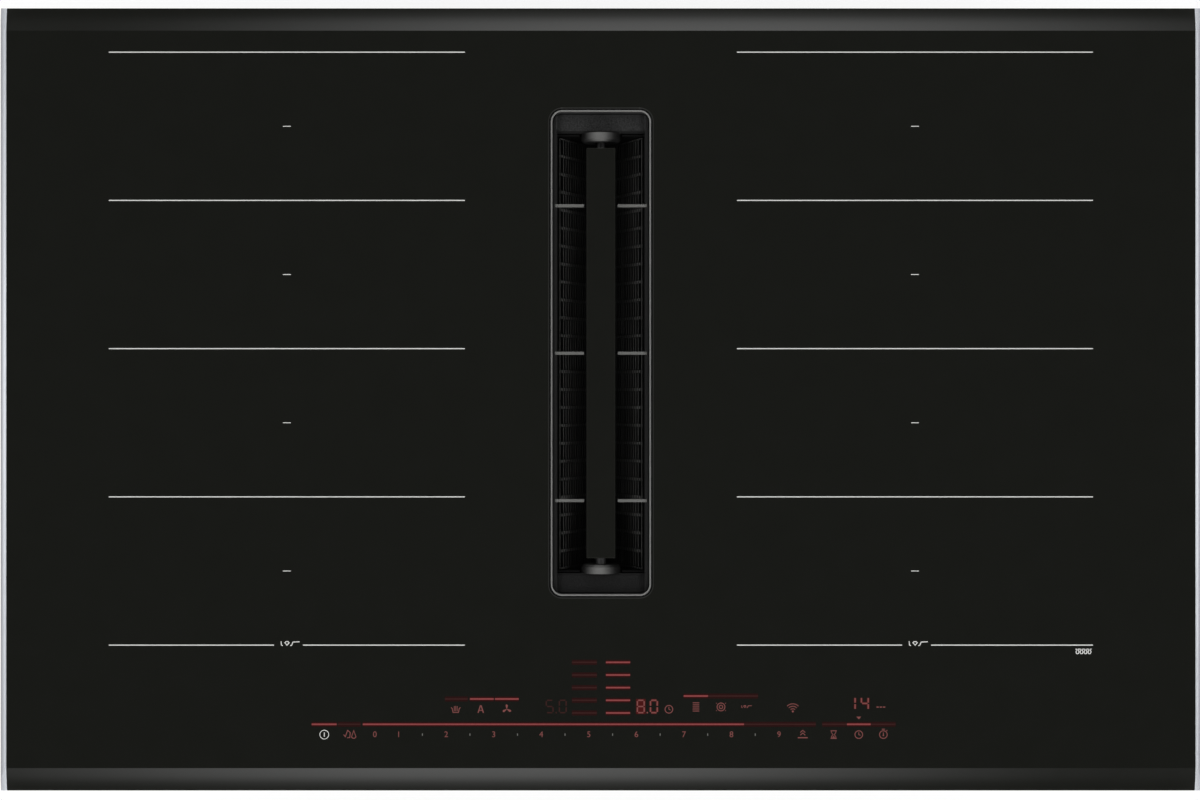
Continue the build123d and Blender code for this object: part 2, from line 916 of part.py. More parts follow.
def make_grille_frame():
    frame = band(
        insert_width, insert_length, insert_radius, rail_width, 0, vent_y, rail_z, rail_z + rail_height
    )
    room = slab(insert_width, insert_length, insert_radius, 0, vent_y, ledge_z, top_z)
    for sign in (-1, 1):
        y0, y1 = sorted((vent_y + sign * ledge_y, vent_y + sign * insert_length / 2))
        frame += block(-insert_width / 2, insert_width / 2, y0, y1, ledge_z, top_z - ledge_drop) & room
        inner = insert_width / 2 - rail_width
        frame -= block(-inner, inner, y0, y1, top_z - ledge_drop, top_z)
        seat = vent_y + sign * ledge_y
        frame -= rod_y(pin_radius + pin_clearance, 0, boss_z, seat, seat + sign * pin_seat)
    reach = insert_width / 2 - rail_width + rib_seat
    for y in rib_spots():
        gap = rib_thickness / 2 + rib_clearance
        frame -= block(-reach, reach, y - gap, y + gap, rib_z, top_z)
    return frame


def make_bosses():
    bosses = []
    for sign in (-1, 1):
        y1 = vent_y + sign * ledge_y
        y0 = y1 - sign * boss_thickness
        disc = rod_y(boss_radius, 0, boss_z, y0, y1)
        disc = chamfer(disc.faces().sort_by(Axis.Y)[0 if sign > 0 else -1].edges(), boss_edge)
        bosses.append(disc - rod_y(pin_radius + pin_clearance, 0, boss_z, y0, y1))
    return bosses


def make_pins():
    pins = []
    for sign in (-1, 1):
        y0 = vent_y + sign * (bar_length / 2 - pin_seat)
        y1 = vent_y + sign * (ledge_y + pin_seat)
        pins.append(rod_y(pin_radius, 0, boss_z, y0, y1))
    return pins


def make_bar():
    top = top_z - bar_drop
    bar = block(
        -bar_width / 2, bar_width / 2, vent_y - bar_length / 2, vent_y + bar_length / 2, top - bar_height, top
    )
    bar = chamfer(bar.faces().sort_by(Axis.Z)[-1].edges(), bar_edge)
    for sign in (-1, 1):
        end = vent_y + sign * bar_length / 2
        bar -= rod_y(pin_radius + pin_clearance, 0, boss_z, end - sign * pin_seat, end)
    for y in rib_spots():
        gap = rib_thickness / 2 + rib_clearance
        bar -= block(-bar_width, bar_width, y - gap, y + gap, top - bar_height, rib_z + rib_height)
    return bar


def make_ribs():
    reach = insert_width / 2 - rail_width + rib_seat - rib_clearance
    half = rib_thickness / 2
    return [block(-reach, reach, y - half, y + half, rib_z, rib_z + rib_height) for y in rib_spots()]


# Grease filter
def make_filter_frame():
    """Side rails, two end walls notched for the bosses, end flanges and a spine along the bottom."""
    half = insert_width / 2
    rail_top = filter_rail_z + filter_rail_height
    spine_top = spine_z + filter_spine_height
    frame = block(
        -filter_spine / 2, filter_spine / 2, vent_y - filter_end_y, vent_y + filter_end_y, spine_z, spine_top
    )
    for x0, x1 in ((-half, -half + filter_rail), (half - filter_rail, half)):
        frame += block(x0, x1, vent_y - filter_end_y, vent_y + filter_end_y, filter_rail_z, rail_top)
    wall = [
        (-half, rail_top),
        (-half, filter_flange_z),
        (-filter_spine / 2, spine_z),
        (filter_spine / 2, spine_z),
        (half, filter_flange_z),
        (half, rail_top),
    ]
    notch = boss_radius + boss_notch_gap
    for sign in (-1, 1):
        y0, y1 = sorted((vent_y + sign * (filter_end_y - filter_wall), vent_y + sign * filter_end_y))
        end = across(wall, y0, y1)
        end -= block(-notch, notch, y0, y1, boss_z, top_z)
        end -= rod_y(notch, 0, boss_z, y0, y1)
        y0, y1 = sorted((vent_y + sign * (filter_end_y - filter_wall), vent_y + sign * insert_length / 2))
        end += block(-half, half, y0, y1, filter_flange_z, filter_flange_z + filter_flange)
        frame += end
    return frame & slab(insert_width, insert_length, insert_radius, 0, vent_y, spine_z, top_z)


def make_filter_mesh(sign):
    """A slotted sheet that slopes from a side rail down to the spine."""
    run = insert_width / 2 - filter_rail - filter_spine / 2
    slope = math.hypot(run, filter_depth) - 2 * mesh_end_gap
    length = 2 * (filter_end_y - filter_wall) - mesh_end_gap
    rows = 2 * round(length / 2 / mesh_row_pitch)
    pitch = length / rows
    columns = int((slope - mesh_column_pitch) / mesh_column_pitch)
    spots = GridLocations(pitch, mesh_column_pitch, rows, columns)
    slots = [Wire.make_rect(pitch - mesh_web, mesh_slot_width).moved(spot) for spot in spots]
    sheet = Face(Wire.make_rect(length, slope), slots)
    middle_x = (insert_width / 2 - filter_rail + filter_spine / 2) / 2
    middle = (sign * middle_x, vent_y, filter_rail_z - filter_depth / 2)
    plane = Plane(middle, x_dir=(0, 1, 0), z_dir=(sign * filter_depth, 0, -run))
    return extrude(plane.offset(-mesh_sheet / 2) * sheet, mesh_sheet)


def make_tray():
    """A narrow trough with an upright post at each end that carries the grease filter."""
    half = tray_width / 2
    y0 = vent_y - insert_length / 2
    y1 = vent_y + insert_length / 2
    trough = block(-half, half, y0, y1, tray_z, tray_top_z)
    trough -= block(
        -half + tray_wall, half - tray_wall, y0 + tray_post, y1 - tray_post, tray_z + tray_wall, tray_top_z
    )
    for end in (y0, y1 - tray_post):
        trough += block(-half, half, end, end + tray_post, tray_top_z, filter_flange_z - seat_gap)
    return trough


# Ventilation housing
def odour_spots():
    return [(sign * odour_x, vent_y + end * window_pitch / 2) for _, sign in SIDES for end in (-1, 1)]


def make_odour_filters():
    cassettes = []
    for x, y in odour_spots():
        cassettes.append(block(
            x - odour_width / 2, x + odour_width / 2, y - odour_length / 2, y + odour_length / 2,
            shaft_bottom_z, housing_height - odour_headroom,
        ))
    return cassettes


def make_housing():
    """A tub with a flange under the casing, ribbed walls, a standing rim and a hole for the container."""
    outer = slab(housing_width, housing_depth, housing_radius, 0, 0, 0, housing_height)
    outer += slab(
        housing_width + 2 * housing_flange, housing_depth + 2 * housing_flange,
        housing_radius + housing_flange, 0, 0, housing_height - housing_flange_thickness, housing_height,
    )
    inner_width = housing_width - 2 * housing_wall
    inner_depth = housing_depth - 2 * housing_wall
    inner_radius = housing_radius - housing_wall
    tub = outer - slab(inner_width, inner_depth, inner_radius, 0, 0, floor_z, housing_height)
    tub -= slab(inner_width, inner_depth, inner_radius, 0, 0, 0, housing_rim)
    tub += housing_ribs()
    ring_radius = container_radius + container_flange + container_clearance
    tub += rod(ring_radius + housing_rib, 0, vent_y, 0, housing_rim)
    tub -= rod(ring_radius, 0, vent_y, 0, housing_rim)
    tub -= rod(container_radius + container_clearance, 0, vent_y, housing_rim, floor_z)
    half = partition_wall / 2
    for x, y in odour_spots():
        tub += block(x - half, x + half, y - odour_length / 2, y + odour_length / 2, floor_z, shaft_bottom_z)
    y = housing_depth / 2
    tub -= block(
        outlet_x - duct_width / 2, outlet_x + duct_width / 2, y - housing_wall, y,
        outlet_z - duct_height / 2, outlet_z + duct_height / 2,
    )
    return drilled(tub, housing_screw_places() + outlet_screw_places())


def housing_ribs():
    """Upright ribs on the side and front walls, and ribs under the floor."""
    top = housing_height - housing_flange_thickness
    half = housing_rib / 2
    x = housing_width / 2
    y = housing_depth / 2
    ribs = Part()
    for step in range(-housing_rib_rows, housing_rib_rows + 1):
        along = step * housing_rib_pitch
        for _, sign in SIDES:
            x0, x1 = sorted((sign * x, sign * (x + housing_rib_reach)))
            if abs(along) < y - housing_radius:
                ribs += block(x0, x1, along - half, along + half, floor_z, top)
        ribs += block(along - half, along + half, -y - housing_rib_reach, -y, floor_z, top)
    for step in (-1, 1):
        ribs += block(step * floor_rib_pitch - half, step * floor_rib_pitch + half, -y, y, 0, housing_rim)
        ribs += block(-x, x, step * floor_rib_pitch - half, step * floor_rib_pitch + half, 0, housing_rim)
    room = slab(
        housing_width + 2 * housing_rib_reach, housing_depth + 2 * housing_rib_reach,
        housing_radius + housing_rib_reach, 0, 0, 0, top,
    )
    low_room = slab(housing_width, housing_depth, housing_radius, 0, 0, 0, housing_rim)
    tall = block(-plate_width, plate_width, -plate_depth, plate_depth, housing_rim, top)
    return ribs & room & (low_room + tall)


def scroll_plan(extra):
    """The fan chamber's plan: a spiral of four quarter arcs, a neck and a widening duct to the back."""
    r1, r2, r3, r4 = [scroll_start + extra + k * scroll_step for k in range(4)]
    x, y = scroll_x, scroll_y
    end = x + scroll_step + r4
    arcs = [
        CenterArc((x, y), r1, 0, 90),
        CenterArc((x, y - scroll_step), r2, 90, 90),
        CenterArc((x + scroll_step, y - scroll_step), r3, 180, 90),
        CenterArc((x + scroll_step, y), r4, 270, 90),
        Line((end, y), (x + r1, y)),
    ]
    neck_x = x + scroll_neck - extra
    neck_y = y + scroll_neck_length
    back = housing_depth / 2 - housing_wall
    half = duct_width / 2 - 2 * scroll_wall + extra
    duct = [
        (neck_x, y),
        (end, y),
        (end, neck_y),
        (outlet_x + half, back),
        (outlet_x - half, back),
        (neck_x, neck_y),
    ]
    return make_face(arcs) + Polygon(*duct, align=None)


def make_scroll():
    inner = extrude(Pos(0, 0, floor_z + scroll_wall) * scroll_plan(0), duct_height)
    case = extrude(Pos(0, 0, floor_z) * scroll_plan(scroll_wall), scroll_top_z - floor_z)
    inlet = rod(scroll_inlet_radius, scroll_x, scroll_y, scroll_top_z - scroll_wall, scroll_top_z)
    return case - inner - inlet


def make_motor():
    top = motor_z + motor_foot + motor_height
    motor = rod(motor_foot_radius, scroll_x, scroll_y, motor_z, motor_z + motor_foot)
    motor += rod(motor_radius, scroll_x, scroll_y, motor_z + motor_foot, top)
    return motor - rod(shaft_radius + running_clearance, scroll_x, scroll_y, motor_z + motor_foot, top)


def make_fan_shaft():
    return rod(
        shaft_radius, scroll_x, scroll_y, motor_z + motor_foot + lift_clearance, impeller_z + impeller_height
    )


def make_impeller():
    blade_middle = impeller_radius - impeller_blade_length / 2
    blade = Pos(blade_middle, 0) * Rot(0, 0, impeller_blade_turn)
    blade = blade * Rectangle(impeller_blade_length, impeller_blade_sheet)
    blades = PolarLocations(0, impeller_blades) * blade
    vanes = extrude(Sketch() + blades, impeller_height)
    wheel = rod(impeller_radius, 0, 0, 0, impeller_plate) + vanes
    rim = rod(impeller_radius, 0, 0, impeller_height - impeller_plate, impeller_height)
    wheel += rim - rod(impeller_radius - impeller_blade_length, 0, 0, 0, impeller_height)
    wheel += rod(impeller_hub_radius, 0, 0, 0, impeller_height)
    wheel -= rod(shaft_radius + shaft_fit, 0, 0, 0, impeller_height)
    return Pos(scroll_x, scroll_y, impeller_z) * wheel


def make_outlet():
    """A rectangular spigot for a flat duct, on a plate against the housing's back wall."""
    y = housing_depth / 2
    half_w = duct_width / 2 - duct_clearance
    half_h = duct_height / 2 - duct_clearance
    lap_w = duct_width / 2 + outlet_lap
    lap_h = duct_height / 2 + outlet_lap
    shape = block(outlet_x - lap_w, outlet_x + lap_w, y, y + outlet_plate, outlet_z - lap_h, outlet_z + lap_h)
    end = y + outlet_plate + spigot_length
    tube = block(outlet_x - half_w, outlet_x + half_w, y, end, outlet_z - half_h, outlet_z + half_h)
    shape += fillet(tube.edges().filter_by(Axis.Y), spigot_radius)
    half_w -= spigot_wall
    half_h -= spigot_wall
    bore = block(outlet_x - half_w, outlet_x + half_w, y, end, outlet_z - half_h, outlet_z + half_h)
    shape -= fillet(bore.edges().filter_by(Axis.Y), spigot_radius - spigot_wall)
    return drilled(shape, outlet_screw_places())


def make_container():
    """A round cup that hangs under the drain, with a flange below the housing floor and a finger grip."""
    cup = rod(container_radius, 0, vent_y, container_flange_z, container_top_z)
    cup += rod(
        container_radius + container_flange, 0, vent_y,
        container_flange_z, container_flange_z + container_flange_thickness,
    )
    floor = container_flange_z + 2 * container_flange_thickness
    cup -= rod(container_radius - container_wall, 0, vent_y, floor, container_top_z)
    half = container_grip_width / 2
    for sign in (-1, 1):
        y = vent_y + sign * 2 * container_grip_width
        cup -= block(
            -container_radius / 2, container_radius / 2, y - half, y + half,
            container_flange_z, container_flange_z + container_flange_thickness,
        )
    return cup


# Gather the pieces
nodes = {
    "glass_plate": [make_glass()],
    "worktop_seal": [make_seal()],
    "bonding_frame": [make_bonding_frame()],
    "casing_tray": [make_casing()],
    "casing_screws": [place * screw(screw_length) for place in short_screw_places()],
    "mounting_springs": [make_mounting_spring(s, y) for s in (-1, 1) for y in (-spring_y, spring_y)],
    "coil_temperature_sensors": make_sensors(),
    "carrier_posts": make_posts(),
    "control_board_carrier": [make_control_carrier()],
    "control_board": [make_control_board()],
    "touch_sensor_springs": make_touch_springs(),
    "display_light_guides": make_light_guides(),
    "terminal_block": [make_terminal_block()],
    "terminal_cover": [make_terminal_cover()],
    "cable_gland": [make_gland()],
    "inlet_collar": [make_collar()],
    "inlet_seal": [make_inlet_seal()],
    "inlet_shaft": [make_shaft()],
    "grille_frame": [make_grille_frame()],
    "grille_bosses": make_bosses(),
    "grille_pins": make_pins(),
    "grille_bar": [make_bar()],
    "grille_ribs": make_ribs(),
    "grease_filter_frame": [make_filter_frame()],
    "grease_filter_mesh": [make_filter_mesh(sign) for _, sign in SIDES],
    "odour_filters": make_odour_filters(),
    "collecting_tray": [make_tray()],
    "ventilation_housing": [make_housing()],
    "housing_screws": [place * screw(housing_screw_length) for place in housing_screw_places()],
    "fan_scroll": [make_scroll()],
    "fan_motor": [make_motor()],
    "fan_shaft": [make_fan_shaft()],
    "fan_impeller": [make_impeller()],
    "outlet_flange": [make_outlet()],
    "overflow_container": [make_container()],
}
for side, sign in SIDES:
    nodes[f"{side}_side_trim"] = [make_trim(sign)]
    nodes[f"{side}_insulation_sheet"] = [
        make_sheet(sign, coil_z + coil_thickness, glass_z, sensor_radius + sensor_clearance)
    ]
    nodes[f"{side}_coil_carrier"] = [make_sheet(sign, carrier_z, ferrite_z, screw_radius)]
    nodes[f"{side}_ferrite_bars"] = make_ferrites(sign)
    nodes[f"{side}_power_board"] = [make_board(sign)]
    nodes[f"{side}_heat_sink"] = [make_heat_sink(sign)]
    nodes[f"{side}_cooling_fan_frame"] = [make_fan_frame(sign)]
    nodes[f"{side}_cooling_fan_wheel"] = [make_fan_wheel(sign)]
    for row, y in enumerate(coil_y, start=1):
        nodes[f"{side}_coil_{row}"] = [make_coil(sign, y)]

# Write one file for each piece
os.makedirs("parts", exist_ok=True)
for name, solids in nodes.items():
    shape = solids[0] if len(solids) == 1 else Compound(children=solids)
    export_step(shape, f"parts/{name}.step")
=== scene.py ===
"""The looks of a venting induction cooktop, seen from straight above. Metres, in the part's own frame."""

import math

import bmesh
import bpy
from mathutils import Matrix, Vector


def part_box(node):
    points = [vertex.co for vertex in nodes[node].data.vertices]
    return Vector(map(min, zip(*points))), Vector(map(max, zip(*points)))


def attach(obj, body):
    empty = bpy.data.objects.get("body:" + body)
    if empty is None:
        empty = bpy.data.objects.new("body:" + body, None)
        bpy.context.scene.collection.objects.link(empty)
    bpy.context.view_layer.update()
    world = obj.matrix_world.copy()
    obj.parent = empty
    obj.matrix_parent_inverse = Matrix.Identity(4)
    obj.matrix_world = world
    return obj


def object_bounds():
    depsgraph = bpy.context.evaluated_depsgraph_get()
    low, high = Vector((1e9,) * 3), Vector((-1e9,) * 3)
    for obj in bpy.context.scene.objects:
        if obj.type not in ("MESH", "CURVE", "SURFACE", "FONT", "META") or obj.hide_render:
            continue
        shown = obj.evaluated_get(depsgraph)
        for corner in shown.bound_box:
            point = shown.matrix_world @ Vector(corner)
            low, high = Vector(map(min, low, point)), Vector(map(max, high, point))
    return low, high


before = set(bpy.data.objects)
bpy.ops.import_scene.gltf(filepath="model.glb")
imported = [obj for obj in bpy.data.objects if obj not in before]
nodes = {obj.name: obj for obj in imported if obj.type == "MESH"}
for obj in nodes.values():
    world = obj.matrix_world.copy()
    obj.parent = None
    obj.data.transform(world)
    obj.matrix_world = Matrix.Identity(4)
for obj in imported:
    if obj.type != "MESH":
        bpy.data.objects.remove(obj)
cad_low, cad_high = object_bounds()

# Where the camera stands over the plate
CAMERA_HEIGHT = 1.5
CAMERA_OFFSET = (-0.0006, -0.0004)
FRAME_CROP = 0.0008
SENSOR_WIDTH = 0.036
MILLIMETRES_IN_METRE = 1000

# The plate that carries the print
plate_width = cad_high.x - cad_low.x
plate_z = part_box("glass_plate")[1].z

# Print and display, as thin layers on the glass
INK_HEIGHT = 0.00003
GLOW_HEIGHT = 0.00002
HALO_HEIGHT = 0.00001
ARC_STEP = math.radians(12)
MITRE_LIMIT = 0.5

# Printed zone lines
LINE_INNER_X = 0.0924
LINE_OUTER_X = 0.3343
LINE_BACK_Y = 0.2359
LINE_PITCH = 0.1007
LINE_COUNT = 5
LINE_WIDTH = 0.0007
DASH_LENGTH = 0.0053
DASH_WIDTH = 0.0005
PAN_MARK_WIDTH = 0.0128
PAN_MARK_GAP = 0.0046
PAN_MARK_STROKE = 0.0006
COIL_MARK_X = 0.3238
COIL_MARK_Y = -0.1712
COIL_MARK_RADIUS = 0.0016
COIL_MARK_LOOPS = 4
COIL_MARK_SPREAD = 1.7
COIL_MARK_STEP = 20

# The touch slider and its keys
ROW_LINE_Y = -0.2207
ROW_SIGN_Y = -0.2277
BAR_WIDTH = 0.0010
GLOW_WIDTH = 0.0019
HALO_WIDTH = 0.0034
SIGN_STROKE = 0.00055
THIN_STROKE = 0.00044
BOLD_STROKE = 0.00075
DIGIT_HEIGHT = 0.0040
FONT_SHARE = 1.4
SLIDER_FIVE_X = -0.0082
SLIDER_FIGURES = 10
SLIDER_MIDDLE = 5
ZERO_PLACE = 0.5
BOOST_PLACE = 9.5
SLIDER_PITCH = 0.0323
SLIDER_START_X = -0.1618
SLIDER_LIT_X = 0.0972
SLIDER_END_X = 0.1460
TICK_LENGTH = 0.0016
POWER_X = -0.1879
POWER_RADIUS = 0.0030
POWER_BAR = (-0.1965, -0.1795)
WIPE_SIGNS_X = (-0.1718, -0.1679)
WIPE_BAR = (-0.1788, -0.1632)
TIMER_X = (0.1581, 0.1752, 0.1919)
TIMER_BARS = ((0.1503, 0.1666), (0.1671, 0.1833), (0.1836, 0.2003))
TIMER_RADIUS = 0.0026
MARKER_Y = -0.2164
MARKER_SIZE = 0.0015

# The upper row of the display
LEVEL_Y = -0.1786
LEVEL_PITCH = 0.0086
LEVEL_COUNT = 5
LEVEL_DIM = (-0.0197, -0.0027)
LEVEL_LIT = (0.0034, 0.0199)
SEGMENT_STROKE = 0.0009
SEGMENT_HEIGHT = 0.0084
SEGMENT_WIDTH = 0.0046
SEGMENT_PITCH = 0.0089
SEGMENT_GAP = 0.0005
POINT_RADIUS = 0.00054
READOUT_Y = -0.2086
READOUT_DIM_X = -0.0371
READOUT_LIT_X = 0.0248
CLOCK_X = 0.0462
CLOCK_Y = -0.2105
TIMER_READOUT_X = 0.1681
TIMER_READOUT_Y = -0.2065
UNIT_X = 0.1902
UNIT_Y = -0.2090
UNIT_PITCH = 0.0022
UNIT_LENGTH = 0.0016
FAN_SIGNS_X = (-0.0986, -0.0816, -0.0639)
FAN_SIGNS_Y = -0.2104
FAN_BARS = ((-0.1060, -0.0904), (-0.0890, -0.0728), (-0.0720, -0.0558))
FAN_BARS_Y = -0.2035
COOK_SIGNS_X = (0.0646, 0.0816)
COOK_SIGNS_Y = -0.2089
PAN_SIGN_X = 0.0990
PAN_SIGN_WIDTH = 0.0070
COOK_BARS = ((0.0562, 0.0728), (0.0730, 0.0899), (0.0899, 0.1068))
COOK_BARS_Y = -0.2015
LINK_X = 0.1304
LINK_Y = -0.2100
LINK_RADIUS = 0.0028
SIGN_RADIUS = 0.0028

# The side trims' metal
TRIM_COLOUR = (0.80, 0.83, 0.875)
# Painted shade on the trims: the darker colour at their outer edge, and the share of their own colour left at
# their ends
TRIM_PAINTED_SHADE_COLOUR = (0.38, 0.395, 0.42)
TRIM_END_PAINTED_SHADE_SHARE = 0.4

# The vent's metal and plastic
# A near black: the colour of painted shade in the vent's finishes, and the plain base under the display's
# glowing marks
PAINTED_SHADE_BLACK = (0.003, 0.003, 0.003)
RIB_COLOUR = (0.26, 0.26, 0.25)
# Painted shade: the ribs are black within this reach of the middle, under the centre bar
RIB_PAINTED_SHADE_REACH = 0.0115
LEDGE_COLOUR = (0.0174, 0.0177, 0.0177)
# Painted shade: the share of colour the front ledge keeps against the back one
LEDGE_FRONT_PAINTED_SHADE_SHARE = 0.3
LEDGE_SPECKS = 900.0
LEDGE_TINTS = (0.35, 1.9)
LEDGE_ROUGHNESS = (0.42, 0.58)
LEDGE_RELIEF = 0.00015
LEDGE_HALF_WIDTH = 0.0300
LEDGE_REACH = 0.0117
LEDGE_FADE = 0.0008
# Painted shade: the share of colour the side rails keep
RAIL_PAINTED_SHADE_SHARE = 0.14
LEDGE_GLOSS = 0.15
BOSS_COLOUR = (0.108, 0.108, 0.105)
# A painted highlight on the bosses' crown, set off to one side, and painted shade down their flanks
BOSS_PAINTED_HIGHLIGHT_X = -0.0013
BOSS_CROWN = 0.0005
BOSS_FLANK = 0.0110
BOSS_FLANK_PAINTED_SHADE_SHARE = 0.05
PIN_COLOUR = (0.05, 0.05, 0.05)
# Painted shade: the back pin is black beyond this reach from the bar's end
PIN_UNSHADED_REACH = 0.0015
MESH_WEB_COLOUR = (0.13, 0.13, 0.125)
MESH_ROWS = 24
MESH_WEB = 0.0019
MESH_SLAT_PITCH = 0.00366
MESH_SLAT = 0.0017
MESH_SHEET = 0.0008
MESH_LEAN = math.radians(23.65)
MESH_GAP_SHARE = 0.25
# Painted highlight on slot edges that face up: how far up they face, the share of colour they keep, and its
# reach from the front of the edge
MESH_EDGE_FACING = 0.7
MESH_EDGE_PAINTED_HIGHLIGHT_SHARE = 0.76
MESH_EDGE_HIGHLIGHT_REACH = 0.0004
# Painted shade towards the sheet's foot: the share of colour left there
MESH_FOOT_PAINTED_SHADE_SHARE = 0.06

# Colours of print and display
PRINT_COLOUR = (0.60, 0.60, 0.585)
LIT_COLOUR = (0.24, 0.055, 0.056)
SIGN_COLOUR = (0.20, 0.064, 0.060)
DIM_COLOUR = (0.034, 0.0090, 0.0080)
GLOW_COLOUR = (0.058, 0.0020, 0.0018)
HALO_COLOUR = (0.016, 0.0003, 0.0001)
# Printed ticks, drawn with a painted glow
TICK_PAINTED_GLOW_COLOUR = (0.16, 0.16, 0.15)

# How far patterns reach, and how fine each kind of surface is
PATTERN_SPAN = (0.25, 0.75)
RAMP_SPAN = (0.3, 0.7)
ROUGH_VARY = 0.14
BROAD_SHARE = 14
BRUSH_STRETCH = 0.012
BRUSH_GRAIN = 5200.0
BRUSH_DEPTH = 0.000006
BRUSH_VARY = 0.05
MOULD_GRAIN = 1500.0
MARK_VARY = 0.08
MARK_GRAIN = 900.0

# The colour sockets of a mix node
MIX_FIRST = 6
MIX_SECOND = 7
MIX_RESULT = 2


# Node helpers
def plain_material(name):
    material = bpy.data.materials.new(name)
    material.use_nodes = True
    tree = material.node_tree
    return material, tree, tree.nodes["Principled BSDF"]


def add_node(tree, kind, **values):
    """A new node with its properties and its input values set by name."""
    node = tree.nodes.new(kind)
    for key, value in values.items():
        if key in node.inputs:
            node.inputs[key].default_value = value
        else:
            setattr(node, key, value)
    return node


def object_place(tree, stretch=(1, 1, 1)):
    """The point on the piece in metres, stretched along each axis."""
    place = add_node(tree, "ShaderNodeTexCoord")
    mapping = add_node(tree, "ShaderNodeMapping", Scale=stretch)
    tree.links.new(place.outputs["Object"], mapping.inputs["Vector"])
    return mapping.outputs["Vector"]


def noise(tree, place, scale, detail=3.0, rough=0.5):
    node = add_node(tree, "ShaderNodeTexNoise", Scale=scale, Detail=detail, Roughness=rough)
    tree.links.new(place, node.inputs["Vector"])
    return node.outputs["Fac"]


def set_range(node, span, low, high):
    for key, number in zip(("From Min", "From Max", "To Min", "To Max"), (*span, low, high)):
        node.inputs[key].default_value = number


def spread(tree, source, low, high):
    """Takes a 0 to 1 pattern to a range of values."""
    node = add_node(tree, "ShaderNodeMapRange")
    set_range(node, PATTERN_SPAN, low, high)
    tree.links.new(source, node.inputs["Value"])
    return node.outputs["Result"]


def two_colours(tree, source, first, second):
    ramp = add_node(tree, "ShaderNodeValToRGB")
    for element, position, colour in zip(ramp.color_ramp.elements, RAMP_SPAN, (first, second)):
        element.position = position
        element.color = (*colour, 1)
    tree.links.new(source, ramp.inputs["Fac"])
    return ramp.outputs["Color"]


def add_bump(tree, shader, height, depth):
    bump = add_node(tree, "ShaderNodeBump", Distance=depth)
    tree.links.new(height, bump.inputs["Height"])
    tree.links.new(bump.outputs["Normal"], shader.inputs["Normal"])


def shade(colour, factor):
    return tuple(channel * factor for channel in colour)


def math_of(tree, operation, first, second=0.0):
    """One step of arithmetic on sockets or numbers."""
    node = add_node(tree, "ShaderNodeMath", operation=operation)
    for socket, value in zip(node.inputs, (first, second)):
        if isinstance(value, float):
            socket.default_value = value
        else:
            tree.links.new(value, socket)
    return node.outputs[0]


def ease(tree, value, span, low, high):
    """A smooth step from one value to another over a span."""
    node = add_node(tree, "ShaderNodeMapRange", interpolation_type="SMOOTHSTEP")
    set_range(node, span, low, high)
    tree.links.new(value, node.inputs["Value"])
    return node.outputs["Result"]


def part_of(tree, vector, axis):
    parts = add_node(tree, "ShaderNodeSeparateXYZ")
    tree.links.new(vector, parts.inputs["Vector"])
    return parts.outputs[axis]


def darken(material, share, dark):
    """Leaves a share of the finish's own colour and takes the rest to a darker one."""
    tree = material.node_tree
    base = tree.nodes["Principled BSDF"].inputs["Base Color"]
    own = base.links[0].from_socket
    mix = add_node(tree, "ShaderNodeMix", data_type="RGBA")
    tree.links.new(share, mix.inputs["Factor"])
    mix.inputs[MIX_FIRST].default_value = (*dark, 1)
    tree.links.new(own, mix.inputs[MIX_SECOND])
    tree.links.new(mix.outputs[MIX_RESULT], base)


# Finishes
def grained(
    name, colour, rough, metal=0.0, grain=900.0, depth=0.00004, vary=0.18, stretch=(1, 1, 1), gloss=0.5
):
    """A surface with a fine grain in its colour, gloss and relief."""
    material, tree, shader = plain_material(name)
    place = object_place(tree, stretch)
    fine = noise(tree, place, grain)
    broad = noise(tree, place, grain / BROAD_SHARE)
    tint = two_colours(tree, broad, shade(colour, 1 - vary), shade(colour, 1 + vary))
    tree.links.new(tint, shader.inputs["Base Color"])
    gloss_grain = spread(tree, fine, rough * (1 - ROUGH_VARY), rough * (1 + ROUGH_VARY))
    tree.links.new(gloss_grain, shader.inputs["Roughness"])
    shader.inputs["Metallic"].default_value = metal
    shader.inputs["Specular IOR Level"].default_value = gloss
    add_bump(tree, shader, fine, depth)
    return material


def brushed(name, colour, rough, along, metal=1.0):
    """A metal with fine lines along one axis."""
    stretch = [1.0, 1.0, 1.0]
    stretch["XYZ".index(along)] = BRUSH_STRETCH
    return grained(name, colour, rough, metal, BRUSH_GRAIN, BRUSH_DEPTH, BRUSH_VARY, stretch)


def moulded(name, colour, rough, vary=0.18):
    """Plastic with the even grain of its mould."""
    return grained(name, colour, rough, grain=MOULD_GRAIN, vary=vary)


def black_glass():
    """Polished glass-ceramic, almost black, with the faintest unevenness in its gloss."""
    material, tree, shader = plain_material("black_glass_polished")
    place = object_place(tree)
    clouds = noise(tree, place, scale=60.0)
    tint = two_colours(tree, clouds, first=(0.0056, 0.0060, 0.0046), second=(0.0062, 0.0066, 0.0052))
    tree.links.new(tint, shader.inputs["Base Color"])
    uneven = spread(tree, noise(tree, place, scale=35.0), low=0.02, high=0.035)
    tree.links.new(uneven, shader.inputs["Roughness"])
    shader.inputs["IOR"].default_value = 1.5
    return material


